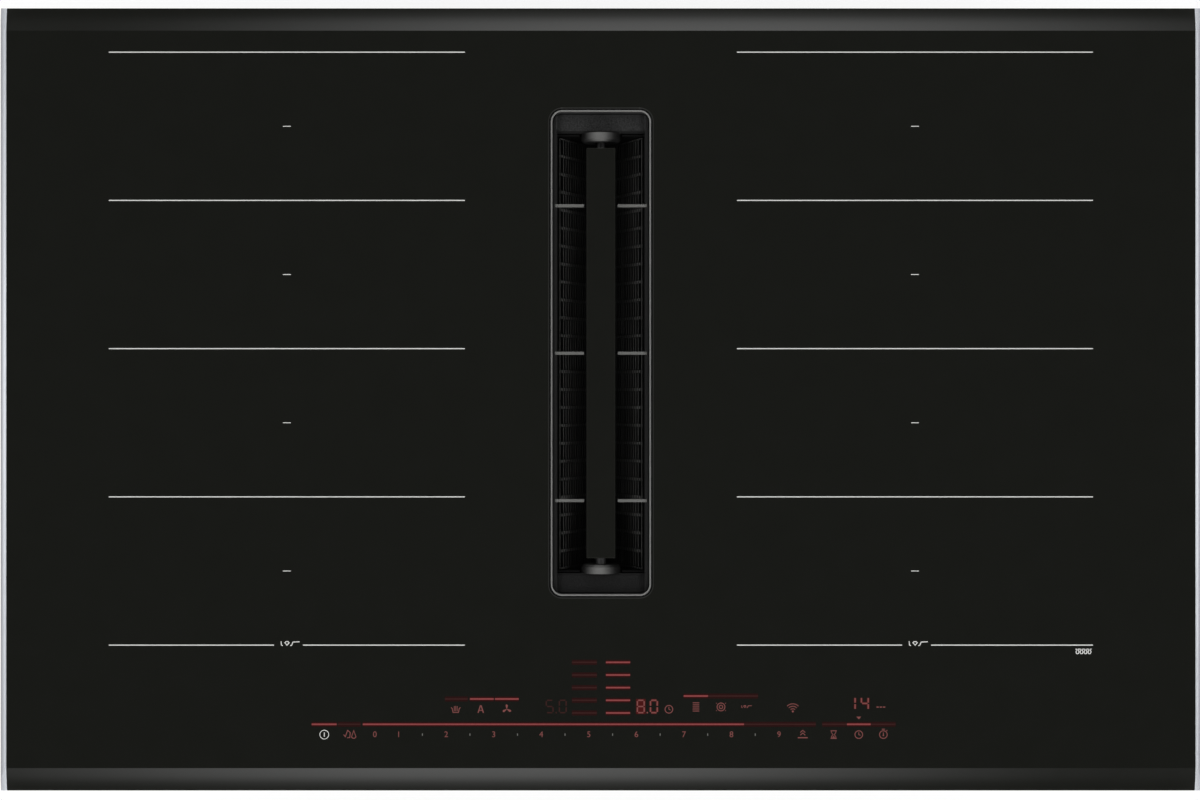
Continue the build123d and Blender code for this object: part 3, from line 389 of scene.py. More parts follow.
def galvanised():
    """Zinc-coated sheet with its crystal flakes."""
    material, tree, shader = plain_material("zinc_sheet_spangled")
    place = object_place(tree)
    cells = add_node(tree, "ShaderNodeTexVoronoi", Scale=210.0)
    tree.links.new(place, cells.inputs["Vector"])
    flakes = add_node(tree, "ShaderNodeSeparateColor")
    tree.links.new(cells.outputs["Color"], flakes.inputs["Color"])
    greys = {"first": (0.50, 0.515, 0.53), "second": (0.575, 0.59, 0.605)}
    tree.links.new(two_colours(tree, flakes.outputs["Red"], **greys), shader.inputs["Base Color"])
    uneven = spread(tree, flakes.outputs["Green"], low=0.34, high=0.42)
    tree.links.new(uneven, shader.inputs["Roughness"])
    shader.inputs["Metallic"].default_value = 1.0
    add_bump(tree, shader, flakes.outputs["Blue"], depth=0.000006)
    return material


def foam():
    """Closed-cell sealing foam with open pores at its cut faces."""
    material, tree, shader = plain_material("seal_foam_cells")
    place = object_place(tree)
    cells = add_node(tree, "ShaderNodeTexVoronoi", Scale=900.0)
    tree.links.new(place, cells.inputs["Vector"])
    tint = two_colours(tree, cells.outputs["Distance"], (0.012, 0.012, 0.013), (0.040, 0.040, 0.042))
    tree.links.new(tint, shader.inputs["Base Color"])
    shader.inputs["Roughness"].default_value = 0.92
    add_bump(tree, shader, cells.outputs["Distance"], depth=0.0003)
    return material


def circuit_board():
    """A green solder mask over a maze of copper tracks."""
    material, tree, shader = plain_material("circuit_board_tracks")
    place = object_place(tree)
    tracks = add_node(tree, "ShaderNodeTexBrick", Scale=120.0, offset=0.37)
    tracks.inputs["Color1"].default_value = (0.008, 0.075, 0.030, 1)
    tracks.inputs["Color2"].default_value = (0.012, 0.100, 0.042, 1)
    tracks.inputs["Mortar"].default_value = (0.035, 0.170, 0.080, 1)
    tracks.inputs["Mortar Size"].default_value = 0.03
    tree.links.new(place, tracks.inputs["Vector"])
    tree.links.new(tracks.outputs["Color"], shader.inputs["Base Color"])
    shader.inputs["Roughness"].default_value = 0.32
    add_bump(tree, shader, tracks.outputs["Fac"], depth=0.00005)
    return material


def wound_copper():
    """Stranded copper wire, lacquered, with its strands running along the band."""
    material, tree, shader = plain_material("coil_copper_strands")
    place = object_place(tree)
    strands = add_node(tree, "ShaderNodeTexWave", Scale=260.0, Distortion=2.5)
    tree.links.new(place, strands.inputs["Vector"])
    tint = two_colours(tree, strands.outputs["Fac"], (0.24, 0.075, 0.028), (0.56, 0.23, 0.10))
    tree.links.new(tint, shader.inputs["Base Color"])
    shader.inputs["Metallic"].default_value = 0.9
    shader.inputs["Roughness"].default_value = 0.38
    add_bump(tree, shader, strands.outputs["Fac"], depth=0.0004)
    return material


def charcoal():
    """A honeycomb of active charcoal."""
    material, tree, shader = plain_material("filter_carbon_cells")
    place = object_place(tree)
    cells = add_node(tree, "ShaderNodeTexVoronoi", Scale=330.0, Randomness=0.15)
    tree.links.new(place, cells.inputs["Vector"])
    tint = two_colours(tree, cells.outputs["Distance"], (0.004, 0.004, 0.004), (0.035, 0.035, 0.036))
    tree.links.new(tint, shader.inputs["Base Color"])
    shader.inputs["Roughness"].default_value = 0.85
    add_bump(tree, shader, cells.outputs["Distance"], depth=0.001)
    return material


def trim_metal():
    """Satin side trims, with painted shade darkening them towards their outer edge and towards their ends."""
    material = brushed("trim_metal_satin", TRIM_COLOUR, rough=0.34, along="Y", metal=0.6)
    tree = material.node_tree
    place = object_place(tree)
    across = math_of(tree, "ABSOLUTE", part_of(tree, place, "X"))
    along = math_of(tree, "ABSOLUTE", part_of(tree, place, "Y"))
    # Painted shade towards the outer edge and towards the ends
    inner = ease(tree, across, (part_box("glass_plate")[1].x, cad_high.x), 1.0, 0.0)
    middle = ease(tree, along, (0.0, cad_high.y), 1.0, TRIM_END_PAINTED_SHADE_SHARE)
    darken(material, math_of(tree, "MULTIPLY", inner, middle), TRIM_PAINTED_SHADE_COLOUR)
    return material


def rib_metal():
    """Satin ribs, black with painted shade where they run under the centre bar."""
    material = brushed("rib_metal_satin", RIB_COLOUR, rough=0.34, along="X")
    tree = material.node_tree
    across = math_of(tree, "ABSOLUTE", part_of(tree, object_place(tree), "X"))
    darken(material, math_of(tree, "GREATER_THAN", across, RIB_PAINTED_SHADE_REACH), PAINTED_SHADE_BLACK)
    return material


def boss_metal():
    """Satin bosses, with a painted highlight on the crown and painted shade down their flanks."""
    material = grained("boss_satin_grey", BOSS_COLOUR, rough=0.46, grain=2600.0, vary=0.06, gloss=0.2)
    tree = material.node_tree
    from_painted_highlight = math_of(tree, "SUBTRACT", part_of(tree, object_place(tree), "X"), BOSS_PAINTED_HIGHLIGHT_X)
    across = math_of(tree, "ABSOLUTE", from_painted_highlight)
    darken(material, ease(tree, across, (BOSS_CROWN, BOSS_FLANK), 1.0, BOSS_FLANK_PAINTED_SHADE_SHARE), PAINTED_SHADE_BLACK)
    return material


def pin_metal():
    """Dark steel pins, the back one black with painted shade except beside the bar."""
    material = grained("pin_dark_steel", PIN_COLOUR, rough=0.4, metal=0.5, grain=2600.0)
    tree = material.node_tree
    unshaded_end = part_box("grille_bar")[1].y + PIN_UNSHADED_REACH
    along = part_of(tree, object_place(tree), "Y")
    darken(material, math_of(tree, "LESS_THAN", along, unshaded_end), PAINTED_SHADE_BLACK)
    return material


def slotted_steel():
    """A slotted sheet, black except on its webs, with a painted highlight along the front of slot edges that
    face up and painted shade deepening towards its foot.
    """
    steel = {"rough": 0.40, "metal": 0.2, "grain": 2200.0, "gloss": 0.1}
    material = grained("filter_steel_slotted", MESH_WEB_COLOUR, **steel)
    tree = material.node_tree
    low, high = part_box("grease_filter_mesh")
    place = object_place(tree)
    from_middle = math_of(tree, "SUBTRACT", part_of(tree, place, "Y"), (low.y + high.y) / 2)
    from_web = math_of(tree, "PINGPONG", from_middle, (high.y - low.y) / MESH_ROWS / 2)
    web = math_of(tree, "LESS_THAN", from_web, MESH_WEB / 2)
    up_slope = math_of(tree, "SUBTRACT", part_of(tree, place, "Z"), (low.z + high.z) / 2)
    from_slat = math_of(tree, "PINGPONG", up_slope, MESH_SLAT_PITCH / 2)
    slat = math_of(tree, "LESS_THAN", from_slat, MESH_SLAT / 2)
    web = math_of(tree, "MULTIPLY", web, math_of(tree, "MAXIMUM", slat, MESH_GAP_SHARE))
    # Painted highlight at the front of slot edges that face up
    facing = add_node(tree, "ShaderNodeNewGeometry")
    up = math_of(tree, "GREATER_THAN", part_of(tree, facing.outputs["Normal"], "Z"), MESH_EDGE_FACING)
    across = math_of(tree, "ABSOLUTE", part_of(tree, place, "X"))
    front_x = high.x - MESH_SHEET * math.cos(MESH_LEAN)
    out = math_of(tree, "MULTIPLY", math_of(tree, "SUBTRACT", across, front_x), math.cos(MESH_LEAN))
    down = math_of(tree, "SUBTRACT", high.z, part_of(tree, place, "Z"))
    down = math_of(tree, "MULTIPLY", down, math.sin(MESH_LEAN))
    front = math_of(tree, "LESS_THAN", math_of(tree, "ADD", out, down), MESH_EDGE_HIGHLIGHT_REACH)
    edge = math_of(tree, "MULTIPLY", math_of(tree, "MULTIPLY", up, front), MESH_EDGE_PAINTED_HIGHLIGHT_SHARE)
    webs_and_lit_edges = math_of(tree, "MAXIMUM", web, edge)
    # Painted shade, deeper towards the foot of the sheet
    height = ease(tree, part_of(tree, place, "Z"), (low.z, high.z), MESH_FOOT_PAINTED_SHADE_SHARE, 1.0)
    darken(material, math_of(tree, "MULTIPLY", webs_and_lit_edges, height), PAINTED_SHADE_BLACK)
    return material


def grille_plastic():
    """Black moulding with a speckle, and painted shade: the front ledge darker than the back one, the side
    rails darker still, and the lips and inner walls black.
    """
    material, tree, shader = plain_material("grille_plastic_speckled")
    place = object_place(tree)
    specks = noise(tree, place, LEDGE_SPECKS, detail=2.0, rough=0.7)
    tint = two_colours(tree, specks, *(shade(LEDGE_COLOUR, factor) for factor in LEDGE_TINTS))
    tree.links.new(tint, shader.inputs["Base Color"])
    tree.links.new(spread(tree, specks, *LEDGE_ROUGHNESS), shader.inputs["Roughness"])
    shader.inputs["Specular IOR Level"].default_value = LEDGE_GLOSS
    add_bump(tree, shader, specks, LEDGE_RELIEF)
    low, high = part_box("grille_frame")
    across = math_of(tree, "ABSOLUTE", part_of(tree, place, "X"))
    rails = (LEDGE_HALF_WIDTH, LEDGE_HALF_WIDTH + LEDGE_FADE)
    from_middle = math_of(tree, "SUBTRACT", part_of(tree, place, "Y"), (low.y + high.y) / 2)
    along = math_of(tree, "ABSOLUTE", from_middle)
    lip = (high.y - low.y) / 2 - LEDGE_REACH
    ledge = ease(tree, along, (lip, lip + LEDGE_FADE), 0.0, 1.0)
    ledge = math_of(tree, "MULTIPLY", ledge, ease(tree, across, rails, 1.0, 0.0))
    # Painted shade, darker towards the front ledge, on the side rails, and black on the lips and walls
    front_painted_shade = ease(tree, part_of(tree, place, "Y"), (low.y, high.y), LEDGE_FRONT_PAINTED_SHADE_SHARE, 1.0)
    ledge = math_of(tree, "MULTIPLY", ledge, front_painted_shade)
    rail = ease(tree, across, rails, 0.0, RAIL_PAINTED_SHADE_SHARE)
    darken(material, math_of(tree, "MAXIMUM", ledge, rail), PAINTED_SHADE_BLACK)
    return material


def glowing(name, colour):
    """A mark that gives off its own colour whatever light falls on it: the display's lit marks, and printed
    ticks with a painted glow.
    """
    material, tree, shader = plain_material(name)
    place = object_place(tree)
    specks = noise(tree, place, MARK_GRAIN)
    tint = two_colours(tree, specks, shade(colour, 1 - MARK_VARY), shade(colour, 1 + MARK_VARY))
    shader.inputs["Base Color"].default_value = (*PAINTED_SHADE_BLACK, 1)
    shader.inputs["Roughness"].default_value = 0.03
    tree.links.new(tint, shader.inputs["Emission Color"])
    shader.inputs["Emission Strength"].default_value = 1.0
    return material


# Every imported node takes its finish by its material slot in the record
finishes = {
    "black_glass": black_glass(),
    "trim_metal": trim_metal(),
    "collar_metal": brushed("collar_metal_satin", (0.33, 0.33, 0.32), rough=0.36, along="Z"),
    "seal_foam": foam(),
    "zinc_sheet": galvanised(),
    "zinc_screw": grained("zinc_screw_plated", (0.60, 0.61, 0.62), rough=0.30, metal=1.0, grain=2600.0),
    "spring_steel": brushed("spring_steel_rolled", (0.44, 0.44, 0.45), rough=0.32, along="Z"),
    "sensor_ceramic": grained("sensor_ceramic_fired", (0.70, 0.67, 0.60), rough=0.6),
    "dark_plastic": moulded("dark_plastic_moulded", (0.022, 0.022, 0.023), rough=0.50),
    "pale_plastic": moulded("pale_plastic_moulded", (0.62, 0.62, 0.60), rough=0.45, vary=0.05),
    "grey_plastic": moulded("grey_plastic_moulded", (0.20, 0.205, 0.21), rough=0.46),
    "circuit_board": circuit_board(),
    "filter_carbon": charcoal(),
    "housing_plastic": grained("housing_plastic_grained", (0.019, 0.019, 0.020), rough=0.52, depth=0.00009),
    "motor_metal": grained("motor_metal_cast", (0.36, 0.36, 0.37), rough=0.45, metal=1.0, grain=1200.0),
    "insulation": grained("insulation_mica", (0.50, 0.46, 0.38), rough=0.60, grain=500.0, vary=0.25),
    "plain_aluminium": brushed("plain_aluminium_extruded", (0.70, 0.71, 0.72), rough=0.34, along="Y"),
    "ferrite": grained("ferrite_pressed", (0.045, 0.045, 0.048), rough=0.55, grain=1800.0, depth=0.00006),
    "coil_copper": wound_copper(),
    "grille_plastic": grille_plastic(),
    "boss_metal": boss_metal(),
    "bar_gloss": grained("bar_gloss_black", (0.0062, 0.0065, 0.0052), rough=0.06, depth=0.0, vary=0.05),
    "rib_metal": rib_metal(),
    # Painted shade: the grease filter's frame and walls are drawn in the black of painted shade
    "filter_steel": grained("filter_steel_painted_shade", PAINTED_SHADE_BLACK, rough=0.42, grain=2200.0, gloss=0.05),
    "tray_plastic": moulded("tray_plastic_moulded", (0.030, 0.030, 0.031), rough=0.42),
    "shaft_steel": brushed("shaft_steel_ground", (0.60, 0.60, 0.61), rough=0.24, along="Z"),
    "fan_plastic": moulded("fan_plastic_moulded", (0.030, 0.030, 0.032), rough=0.44),
    "cup_plastic": moulded("cup_plastic_moulded", (0.16, 0.165, 0.17), rough=0.42),
}
for node in nodes.values():
    for slot in node.material_slots:
        slot.material = finishes[slot.material.name]
nodes["grille_pins"].material_slots[0].material = pin_metal()
nodes["grease_filter_mesh"].material_slots[0].material = slotted_steel()

ink = {
    "print": grained("print_enamel", PRINT_COLOUR, rough=0.45, grain=1500.0, depth=0.00001, vary=0.04),
    "lit": glowing("display_lit", LIT_COLOUR),
    "sign": glowing("display_sign", SIGN_COLOUR),
    "dim": glowing("display_dim", DIM_COLOUR),
    "glow": glowing("display_glow", GLOW_COLOUR),
    "halo": glowing("display_halo", HALO_COLOUR),
    # Printed ticks with a painted glow
    "tick": glowing("display_tick_painted_glow", TICK_PAINTED_GLOW_COLOUR),
}


# Flat drawing on the glass
class Layer:
    """A thin layer of marks in one colour."""

    def __init__(self, name, material, top=INK_HEIGHT):
        self.name = name
        self.material = material
        self.top = plate_z + top
        self.mesh = bmesh.new()

    def ring_of(self, points):
        """Two rings of corners: on the glass and at the top of the ink."""
        low = [self.mesh.verts.new((x, y, plate_z)) for x, y in points]
        high = [self.mesh.verts.new((x, y, self.top)) for x, y in points]
        return low, high

    def patch(self, points):
        """A filled outline, given anticlockwise."""
        low, high = self.ring_of(points)
        count = len(points)
        self.mesh.faces.new(high)
        self.mesh.faces.new(low[::-1])
        for i in range(count):
            j = (i + 1) % count
            self.mesh.faces.new((low[i], low[j], high[j], high[i]))

    def stroke(self, points, width, closed=False):
        """A line of even width through the points."""
        line = [Vector(p) for p in points]
        count = len(line)
        left, right = [], []
        for i, p in enumerate(line):
            before = line[i - 1] if i or closed else p - (line[1] - p)
            after = line[(i + 1) % count] if i < count - 1 or closed else p + (p - line[i - 1])
            first, second = (p - before).normalized(), (after - p).normalized()
            tangent = (first + second).normalized()
            normal = Vector((-tangent.y, tangent.x))
            mitre = max(normal.dot(Vector((-first.y, first.x))), MITRE_LIMIT)
            left.append(p + normal * width / 2 / mitre)
            right.append(p - normal * width / 2 / mitre)
        low_left, high_left = self.ring_of(left)
        low_right, high_right = self.ring_of(right)
        for i in range(count if closed else count - 1):
            j = (i + 1) % count
            self.mesh.faces.new((high_right[i], high_right[j], high_left[j], high_left[i]))
            self.mesh.faces.new((low_left[i], low_left[j], low_right[j], low_right[i]))
            self.mesh.faces.new((high_left[i], high_left[j], low_left[j], low_left[i]))
            self.mesh.faces.new((low_right[i], low_right[j], high_right[j], high_right[i]))
        if not closed:
            self.mesh.faces.new((high_left[0], low_left[0], low_right[0], high_right[0]))
            self.mesh.faces.new((high_right[-1], low_right[-1], low_left[-1], high_left[-1]))

    def bar(self, ends, y, width):
        self.stroke([(ends[0], y), (ends[1], y)], width)

    def circle(self, x, y, radius, width):
        self.stroke(arc(x, y, radius, 0, 360)[:-1], width, closed=True)

    def dot(self, x, y, radius):
        self.patch(arc(x, y, radius, 0, 360)[:-1])

    def text(self, words, x, y, height):
        """Plain figures, centred on a point."""
        curve = bpy.data.curves.new("figures", "FONT")
        curve.body = words
        curve.size = height * FONT_SHARE
        curve.align_x = "CENTER"
        curve.align_y = "CENTER"
        holder = bpy.data.objects.new("figures", curve)
        bpy.context.scene.collection.objects.link(holder)
        flat = bpy.data.meshes.new_from_object(holder.evaluated_get(bpy.context.evaluated_depsgraph_get()))
        bpy.data.objects.remove(holder)
        start = len(self.mesh.verts)
        self.mesh.from_mesh(flat)
        self.mesh.verts.ensure_lookup_table()
        bpy.data.meshes.remove(flat)
        figures = self.mesh.verts[start:]
        faces = list({face for corner in figures for face in corner.link_faces})
        for corner in figures:
            corner.co = (corner.co.x + x, corner.co.y + y, plate_z)
        raised = bmesh.ops.extrude_face_region(self.mesh, geom=faces, use_keep_orig=True)
        for item in raised["geom"]:
            if isinstance(item, bmesh.types.BMVert):
                item.co.z = self.top

    def finish(self):
        bmesh.ops.recalc_face_normals(self.mesh, faces=self.mesh.faces)
        data = bpy.data.meshes.new(self.name)
        self.mesh.to_mesh(data)
        self.mesh.free()
        data.materials.append(self.material)
        piece = bpy.data.objects.new(self.name, data)
        bpy.context.scene.collection.objects.link(piece)
        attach(piece, "cooktop")


def arc(x, y, radius, start, end):
    """Points along an arc, in degrees anticlockwise from +X."""
    turn = math.radians(end - start)
    steps = max(2, math.ceil(abs(turn) / ARC_STEP))
    angles = [math.radians(start) + turn * i / steps for i in range(steps + 1)]
    return [(x + radius * math.cos(a), y + radius * math.sin(a)) for a in angles]


def scaled(x, y, size, points):
    return [(x + size * px, y + size * py) for px, py in points]


printed = Layer("printed_lines", ink["print"])
lit = Layer("display_lit_bars", ink["lit"])
signs = Layer("display_signs", ink["sign"])
dim = Layer("display_dim_bars", ink["dim"])
glow = Layer("display_glow", ink["glow"], GLOW_HEIGHT)
halo = Layer("display_halo", ink["halo"], HALO_HEIGHT)
ticks = Layer("slider_ticks", ink["tick"])


def light_bar(layer, ends, y):
    """A lit or dim bar of the display with the faint glow around it."""
    layer.bar(ends, y, BAR_WIDTH)
    halo.bar(ends, y, HALO_WIDTH)
    if layer is lit:
        glow.bar(ends, y, GLOW_WIDTH)


# Printed cooking zones
def pan_sign(layer, x, y, half, stroke):
    """A pan in profile, its handle to the right and its base open under a morsel."""
    layer.stroke(scaled(x, y, half, [(-0.97, 0.3), (-0.94, -0.1), (-0.78, -0.17)]), stroke)
    layer.stroke(scaled(x, y, half, [(0, -0.17), (0.16, -0.12), (0.3, 0.22), (1, 0.24)]), stroke)
    morsel = [(-0.57, 0.14), (-0.34, -0.12), (-0.11, 0.14), (-0.22, 0.26), (-0.46, 0.26)]
    layer.stroke(scaled(x, y, half, morsel), stroke, closed=True)


def coil_mark(layer, x, y):
    """A short row of loops, the common sign for a coil."""
    points = []
    start, end = -180, 360 * COIL_MARK_LOOPS - 180
    for angle in range(start, end + 1, COIL_MARK_STEP):
        along = COIL_MARK_RADIUS * COIL_MARK_SPREAD * angle / 360
        turn = math.radians(angle)
        points.append((x + along - COIL_MARK_RADIUS * math.sin(turn), y - COIL_MARK_RADIUS * math.cos(turn)))
    layer.stroke(points, PAN_MARK_STROKE)


zone_mid_x = (LINE_INNER_X + LINE_OUTER_X) / 2
for side in (-1, 1):
    for row in range(LINE_COUNT):
        y = LINE_BACK_Y - row * LINE_PITCH
        ends = sorted((side * LINE_INNER_X, side * LINE_OUTER_X))
        if row < LINE_COUNT - 1:
            printed.bar(ends, y, LINE_WIDTH)
            middle = side * zone_mid_x
            dash = (middle - DASH_LENGTH / 2, middle + DASH_LENGTH / 2)
            printed.bar(dash, y - LINE_PITCH / 2, DASH_WIDTH)
        else:
            half = PAN_MARK_WIDTH / 2 + PAN_MARK_GAP
            mark_x = side * zone_mid_x + PAN_MARK_GAP / 2
            printed.bar((ends[0], mark_x - half), y, LINE_WIDTH)
            printed.bar((mark_x + half - PAN_MARK_GAP / 2, ends[1]), y, LINE_WIDTH)
            pan_sign(printed, mark_x, y + LINE_WIDTH, PAN_MARK_WIDTH / 2, PAN_MARK_STROKE)
coil_mark(printed, COIL_MARK_X, COIL_MARK_Y)


# Signs on the keys
def clock_sign(layer, x, y, radius):
    layer.circle(x, y, radius, SIGN_STROKE)
    layer.stroke(scaled(x, y, radius, [(0, 0.62), (0, 0), (0.45, -0.2)]), THIN_STROKE)


def stopwatch_sign(layer, x, y, radius):
    layer.circle(x, y, radius, SIGN_STROKE)
    layer.bar((x - radius * 0.4, x + radius * 0.4), y + radius * 1.42, SIGN_STROKE)
    layer.stroke(scaled(x, y, radius, [(0.78, 0.92), (1.02, 1.16)]), SIGN_STROKE)
    layer.stroke(scaled(x, y, radius, [(0, 0.55), (0, -0.1)]), SIGN_STROKE)
    layer.dot(x, y - radius * 0.2, radius * 0.2)


def hourglass_sign(layer, x, y, radius):
    for end in (-1, 1):
        layer.bar((x - radius * 0.8, x + radius * 0.8), y + end * radius, SIGN_STROKE)
    for side in (-1, 1):
        waist = [(0.62, 0.9), (0.55, 0.5), (0.16, 0), (0.55, -0.5), (0.62, -0.9)]
        layer.stroke([(x + side * radius * px, y + radius * py) for px, py in waist], THIN_STROKE)
    layer.patch(scaled(x, y, radius, [(-0.4, -0.82), (0.4, -0.82), (0, -0.3)]))


def wipe_sign(layer, x, y, radius):
    hand = [(-1.07, 0), (-0.64, -0.5), (-0.1, 1.05), (0.55, 0.5), (0.43, -0.72), (-0.2, -0.78)]
    layer.stroke(scaled(x, y, radius, hand), SIGN_STROKE)


def drop_sign(layer, x, y, radius):
    bowl = arc(x, y - radius * 0.3, radius * 0.6, 205, 335)
    layer.stroke(bowl + [(x, y + radius)], SIGN_STROKE, closed=True)


def boost_sign(layer, x, y, radius):
    for lift in (0.05, 0.7):
        chevron = [(-0.6, lift - 0.2), (0, lift + 0.35), (0.6, lift - 0.2)]
        layer.stroke(scaled(x, y, radius, chevron), SIGN_STROKE)
    layer.bar((x - radius * 1.2, x + radius * 1.2), y - radius * 0.75, BOLD_STROKE)


def pot_sign(layer, x, y, radius):
    profile = [(-1.15, 0.4), (-0.85, 0.15), (-0.65, -0.8), (0.65, -0.8), (0.85, 0.15), (1.15, 0.4)]
    layer.stroke(scaled(x, y, radius, profile), SIGN_STROKE)
    for side in (-0.35, 0, 0.35):
        layer.stroke(scaled(x, y, radius, [(side, -0.5), (side, 0.75)]), THIN_STROKE)


def auto_sign(layer, x, y, radius):
    layer.stroke(scaled(x, y, radius, [(-0.65, -0.9), (-0.1, 0.8), (0.1, 0.8), (0.65, -0.9)]), BOLD_STROKE)
    layer.bar((x - radius * 0.4, x + radius * 0.4), y - radius * 0.3, SIGN_STROKE)


def blades_sign(layer, x, y, radius):
    for turn in (90, 210, 330):
        along = Vector((math.cos(math.radians(turn)), math.sin(math.radians(turn))))
        across = Vector((-along.y, along.x))
        centre = Vector((x, y))
        outline = [(0.1, -0.08), (0.95, -0.28), (1.2, 0.1), (0.9, 0.3), (0.1, 0.1)]
        layer.patch([tuple(centre + radius * (along * a + across * b)) for a, b in outline])


def list_sign(layer, x, y, radius):
    for row in range(5):
        layer.bar((x - radius * 0.8, x + radius * 0.8), y + radius * (1 - 0.5 * row), SIGN_STROKE)


def ring_sign(layer, x, y, radius):
    layer.circle(x, y, radius * 0.95, SIGN_STROKE)
    layer.circle(x, y, radius * 0.42, SIGN_STROKE)
    for sx in (-1, 1):
        for sy in (-1, 1):
            layer.dot(x + sx * radius * 1.1, y + sy * radius * 0.9, SIGN_STROKE / 2)


def link_sign(layer, x, y, radius):
    layer.dot(x, y - radius * 0.7, radius * 0.24)
    for reach in (0.75, 1.35, 1.95):
        layer.stroke(arc(x, y - radius * 0.8, radius * reach, 45, 135), SIGN_STROKE)


# Seven-segment figures: upper, middle and lower bars, then the four uprights
SEGMENTS = {"0": "TBLlRr", "1": "Rr", "4": "MLRr", "5": "TMBLr", "8": "TMBLlRr"}
FILLED_FIGURES = "8"


def segment_figure(layer, figure, x, y, stroke):
    """One figure, its lower left corner at a point."""
    gap, w, h = SEGMENT_GAP, SEGMENT_WIDTH, SEGMENT_HEIGHT
    strokes = {
        "T": [(gap, h), (w - gap, h)],
        "M": [(gap, h / 2), (w - gap, h / 2)],
        "B": [(gap, 0), (w - gap, 0)],
        "L": [(0, h / 2 + gap), (0, h - gap)],
        "l": [(0, gap), (0, h / 2 - gap)],
        "R": [(w, h / 2 + gap), (w, h - gap)],
        "r": [(w, gap), (w, h / 2 - gap)],
    }
    for letter in SEGMENTS[figure]:
        layer.stroke([(x + px, y + py) for px, py in strokes[letter]], stroke)


def figure_glow(figure, x, y):
    """The glow behind a lit figure, which fills small loops."""
    if figure not in FILLED_FIGURES:
        segment_figure(glow, figure, x, y, GLOW_WIDTH)
        return
    edge = GLOW_WIDTH / 2
    left, right = x - edge, x + SEGMENT_WIDTH + edge
    low, high = y - edge, y + SEGMENT_HEIGHT + edge
    glow.patch([(left, low), (right, low), (right, high), (left, high)])


def readout(layer, figures, x, y, point):
    """Two figures, with a point between them if asked."""
    low = y - SEGMENT_HEIGHT / 2
    for place, figure in enumerate(figures):
        left = x + place * SEGMENT_PITCH
        segment_figure(layer, figure, left, low, SEGMENT_STROKE)
        if layer is signs:
            figure_glow(figure, left, low)
    if point:
        layer.dot(x + (SEGMENT_WIDTH + SEGMENT_PITCH) / 2, low, POINT_RADIUS)


def slider_x(place):
    """Where a figure of the slider lies along it."""
    return SLIDER_FIVE_X + (place - SLIDER_MIDDLE) * SLIDER_PITCH


# Lower row: power, wiping lock, slider and timers
printed.circle(POWER_X, ROW_SIGN_Y, POWER_RADIUS, THIN_STROKE)
printed.stroke(scaled(POWER_X, ROW_SIGN_Y, POWER_RADIUS, [(0, -0.5), (0, 0.5)]), SIGN_STROKE)
light_bar(lit, POWER_BAR, ROW_LINE_Y)
for draw, x in zip((wipe_sign, drop_sign), WIPE_SIGNS_X):
    draw(signs, x, ROW_SIGN_Y, SIGN_RADIUS)
light_bar(dim, WIPE_BAR, ROW_LINE_Y)
light_bar(lit, (SLIDER_START_X, SLIDER_LIT_X), ROW_LINE_Y)
light_bar(dim, (SLIDER_LIT_X, SLIDER_END_X), ROW_LINE_Y)
for figure in range(SLIDER_FIGURES):
    signs.text(str(figure), slider_x(figure or ZERO_PLACE), ROW_SIGN_Y, DIGIT_HEIGHT)
for figure in range(1, SLIDER_FIGURES - 1):
    x = slider_x(figure + 0.5)
    ticks.stroke([(x, ROW_SIGN_Y - TICK_LENGTH / 2), (x, ROW_SIGN_Y + TICK_LENGTH / 2)], SIGN_STROKE)
boost_sign(signs, slider_x(BOOST_PLACE), ROW_SIGN_Y, SIGN_RADIUS)
for draw, x in zip((hourglass_sign, clock_sign, stopwatch_sign), TIMER_X):
    draw(signs, x, ROW_SIGN_Y, TIMER_RADIUS)
for layer, ends in zip((dim, lit, dim), TIMER_BARS):
    light_bar(layer, ends, ROW_LINE_Y)
signs.patch(scaled(TIMER_X[1], MARKER_Y, MARKER_SIZE, [(-1.1, 0.6), (0, -0.6), (1.1, 0.6)]))

# Upper row: fan keys, levels, readouts and cooking keys
for draw, x in zip((pot_sign, auto_sign, blades_sign), FAN_SIGNS_X):
    draw(signs, x, FAN_SIGNS_Y, SIGN_RADIUS)
for layer, ends in zip((dim, lit, lit), FAN_BARS):
    light_bar(layer, ends, FAN_BARS_Y)
for row in range(LEVEL_COUNT):
    y = LEVEL_Y - row * LEVEL_PITCH
    light_bar(dim, LEVEL_DIM, y)
    light_bar(lit, LEVEL_LIT, y)
readout(dim, "50", READOUT_DIM_X, READOUT_Y, True)
readout(signs, "80", READOUT_LIT_X, READOUT_Y, True)
readout(signs, "14", TIMER_READOUT_X, TIMER_READOUT_Y, False)
for step in (-1, 0, 1):
    x = UNIT_X + step * UNIT_PITCH
    signs.bar((x - UNIT_LENGTH / 2, x + UNIT_LENGTH / 2), UNIT_Y, BOLD_STROKE)
clock_sign(signs, CLOCK_X, CLOCK_Y, TIMER_RADIUS)
for draw, x in zip((list_sign, ring_sign), COOK_SIGNS_X):
    draw(signs, x, COOK_SIGNS_Y, SIGN_RADIUS)
pan_sign(signs, PAN_SIGN_X, COOK_SIGNS_Y, PAN_SIGN_WIDTH / 2, THIN_STROKE)
for layer, ends in zip((lit, dim, dim), COOK_BARS):
    light_bar(layer, ends, COOK_BARS_Y)
link_sign(signs, LINK_X, LINK_Y, LINK_RADIUS)
for layer in (printed, lit, signs, dim, glow, halo, ticks):
    layer.finish()

